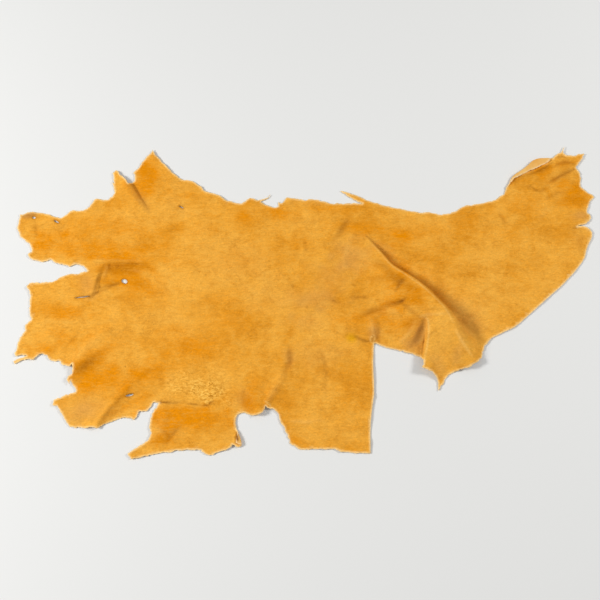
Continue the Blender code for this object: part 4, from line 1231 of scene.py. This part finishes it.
colour = grained(suede, patterns, colour)
suede.bump(suede.noise(60.0, 5.0, 0.6, 0.5), 3.0 * MM, 0.45)
suede.bump(patterns["fibres"], 2.0 * MM, 0.35)
suede.bump(lines, -1.2 * MM, 0.7)
suede.bump(patterns["nap"], 0.8 * MM, 0.6)
suede.bump(suede.math("MULTIPLY", flaked, patterns["flakes"]), 1.2 * MM, 0.6)
hide.data.materials.append(suede.finish(colour, SUEDE_SHEEN, SHEEN_GOLD))
print("the finished suede has", len(suede.tree.nodes), "nodes")

# %% [markdown]
# ## The side beneath, and the raw rim
# The side beneath is smoother and paler, and shows only where the leather is turned over. The cut rim
# shows the leather's core, which the dye never reached.

# %% Two paler finishes
UNDER_SHEEN, RAW_SHEEN = 0.12, 0.1


def pale_underside():
    """The side beneath, with its colour in slow clouds."""
    under = Finish("pale_underside", roughness=0.85)
    clouds = under.noise(9.0, 4.0, 0.6, 0.4)
    grain = under.noise(260.0, 4.0, 0.65)
    colour = under.mix(under.ramp(clouds, 0.35, 0.65), UNDER_CREAM, UNDER_GOLD)
    colour = under.mix(under.ramp(grain, 0.45, 0.75, 0.0, 0.4), colour, UNDER_GOLD)
    colour = under.tinted(colour, "raw_rim", 0.7, RAW_CREAM)
    # The creases' darkness, partly painted shade, also shows where the leather is turned over.
    colour = under.tinted(colour, "crease", 0.7, SHADE_AND_DIRT_BROWN)
    under.bump(grain, 0.8 * MM, 0.5)
    return under.finish(colour, UNDER_SHEEN, SHEEN_CREAM)


def raw_fibres():
    """The cut rim, all fibres and no dye."""
    raw = Finish("raw_fibres", roughness=0.95)
    fibres = raw.noise(500.0, 4.0, 0.7)
    colour = raw.mix(raw.ramp(fibres, 0.35, 0.7), RAW_CREAM, PALE_CREAM)
    raw.bump(fibres, 0.6 * MM, 0.7)
    return raw.finish(colour, RAW_SHEEN, SHEEN_CREAM)


hide.data.materials.append(pale_underside())
hide.data.materials.append(raw_fibres())
print("finishes:", [material.name for material in hide.data.materials])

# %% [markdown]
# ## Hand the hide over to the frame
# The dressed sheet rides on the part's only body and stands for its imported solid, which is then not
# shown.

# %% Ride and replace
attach(hide, "root")
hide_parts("hide")
print(hide.name, "rides on root and stands for hide")

# %% [markdown]
# ## A plain floor
# The hide lies on a plain pale floor, wide enough to fill the picture from every side. It sits a hair
# lower than the leather, so that the two never share a plane.

# %% The floor
FLOOR_HALF = 6.0
FLOOR_DROP = 0.0004
FLOOR_GREY = srgb(226, 226, 224)


def pale_floor():
    """One wide square, a hair below the leather."""
    net = bmesh.new()
    bmesh.ops.create_grid(net, x_segments=1, y_segments=1, size=FLOOR_HALF)
    bmesh.ops.translate(net, verts=net.verts, vec=(0.0, 0.0, -FLOOR_DROP))
    data = bpy.data.meshes.new("floor")
    net.to_mesh(data)
    net.free()
    floor = bpy.data.objects.new("floor", data)
    bpy.context.scene.collection.objects.link(floor)
    paint = bpy.data.materials.new("pale_floor")
    paint.use_nodes = True
    shader = paint.node_tree.nodes["Principled BSDF"]
    shader.inputs["Base Color"].default_value = FLOOR_GREY
    shader.inputs["Roughness"].default_value = 0.9
    floor.data.materials.append(paint)
    return floor


floor = pale_floor()

# %% [markdown]
# ## Light and camera
# Flat things are photographed between two large soft lights, one on each side, so that both flanks of
# a fold fall into half shade, and a pale sky fills the rest. The camera stands where the photographer
# stood: two and three-quarter metres away, 70 degrees above the floor.

# %% The light and the camera
LEFT_PLACE, LEFT_POWER = Vector((-4.8, -0.4, 3.5)), 262.0
RIGHT_PLACE, RIGHT_POWER = Vector((4.6, 1.0, 3.6)), 150.0
LAMP_SIZE = 1.6
SKY_STRENGTH = 0.36
WHITE = (1.0, 1.0, 1.0, 1.0)
LENS, SENSOR = 50.0, 36.0


def soft_lamp(name, place, power):
    """A round soft lamp that points at the hide."""
    lamp = bpy.data.lights.new(name, "AREA")
    lamp.shape = "DISK"
    lamp.size = LAMP_SIZE
    lamp.energy = power
    stand = bpy.data.objects.new(name, lamp)
    stand.location = place
    stand.rotation_euler = (-place).to_track_quat("-Z", "Y").to_euler()
    bpy.context.scene.collection.objects.link(stand)


def soft_sky():
    """Even white light from all round, which keeps the shadows soft."""
    sky = bpy.data.worlds.new("sky")
    sky.use_nodes = True
    background = sky.node_tree.nodes["Background"]
    background.inputs["Color"].default_value = WHITE
    background.inputs["Strength"].default_value = SKY_STRENGTH
    bpy.context.scene.world = sky


def photo_camera():
    """A camera at the photograph's place, with its tilt and its lens."""
    lens = bpy.data.cameras.new("camera")
    lens.lens, lens.sensor_width = LENS, SENSOR
    camera = bpy.data.objects.new("camera", lens)
    camera.location = CAMERA
    camera.rotation_euler = (pi / 2 - VIEW_TILT, 0.0, 0.0)
    bpy.context.scene.collection.objects.link(camera)
    bpy.context.scene.camera = camera


soft_lamp("left_lamp", LEFT_PLACE, LEFT_POWER)
soft_lamp("right_lamp", RIGHT_PLACE, RIGHT_POWER)
soft_sky()
photo_camera()
bpy.context.scene.view_settings.view_transform = "Standard"
print("lamps of", LEFT_POWER, "and", RIGHT_POWER, "watts; the camera is at", np.round(CAMERA, 2))
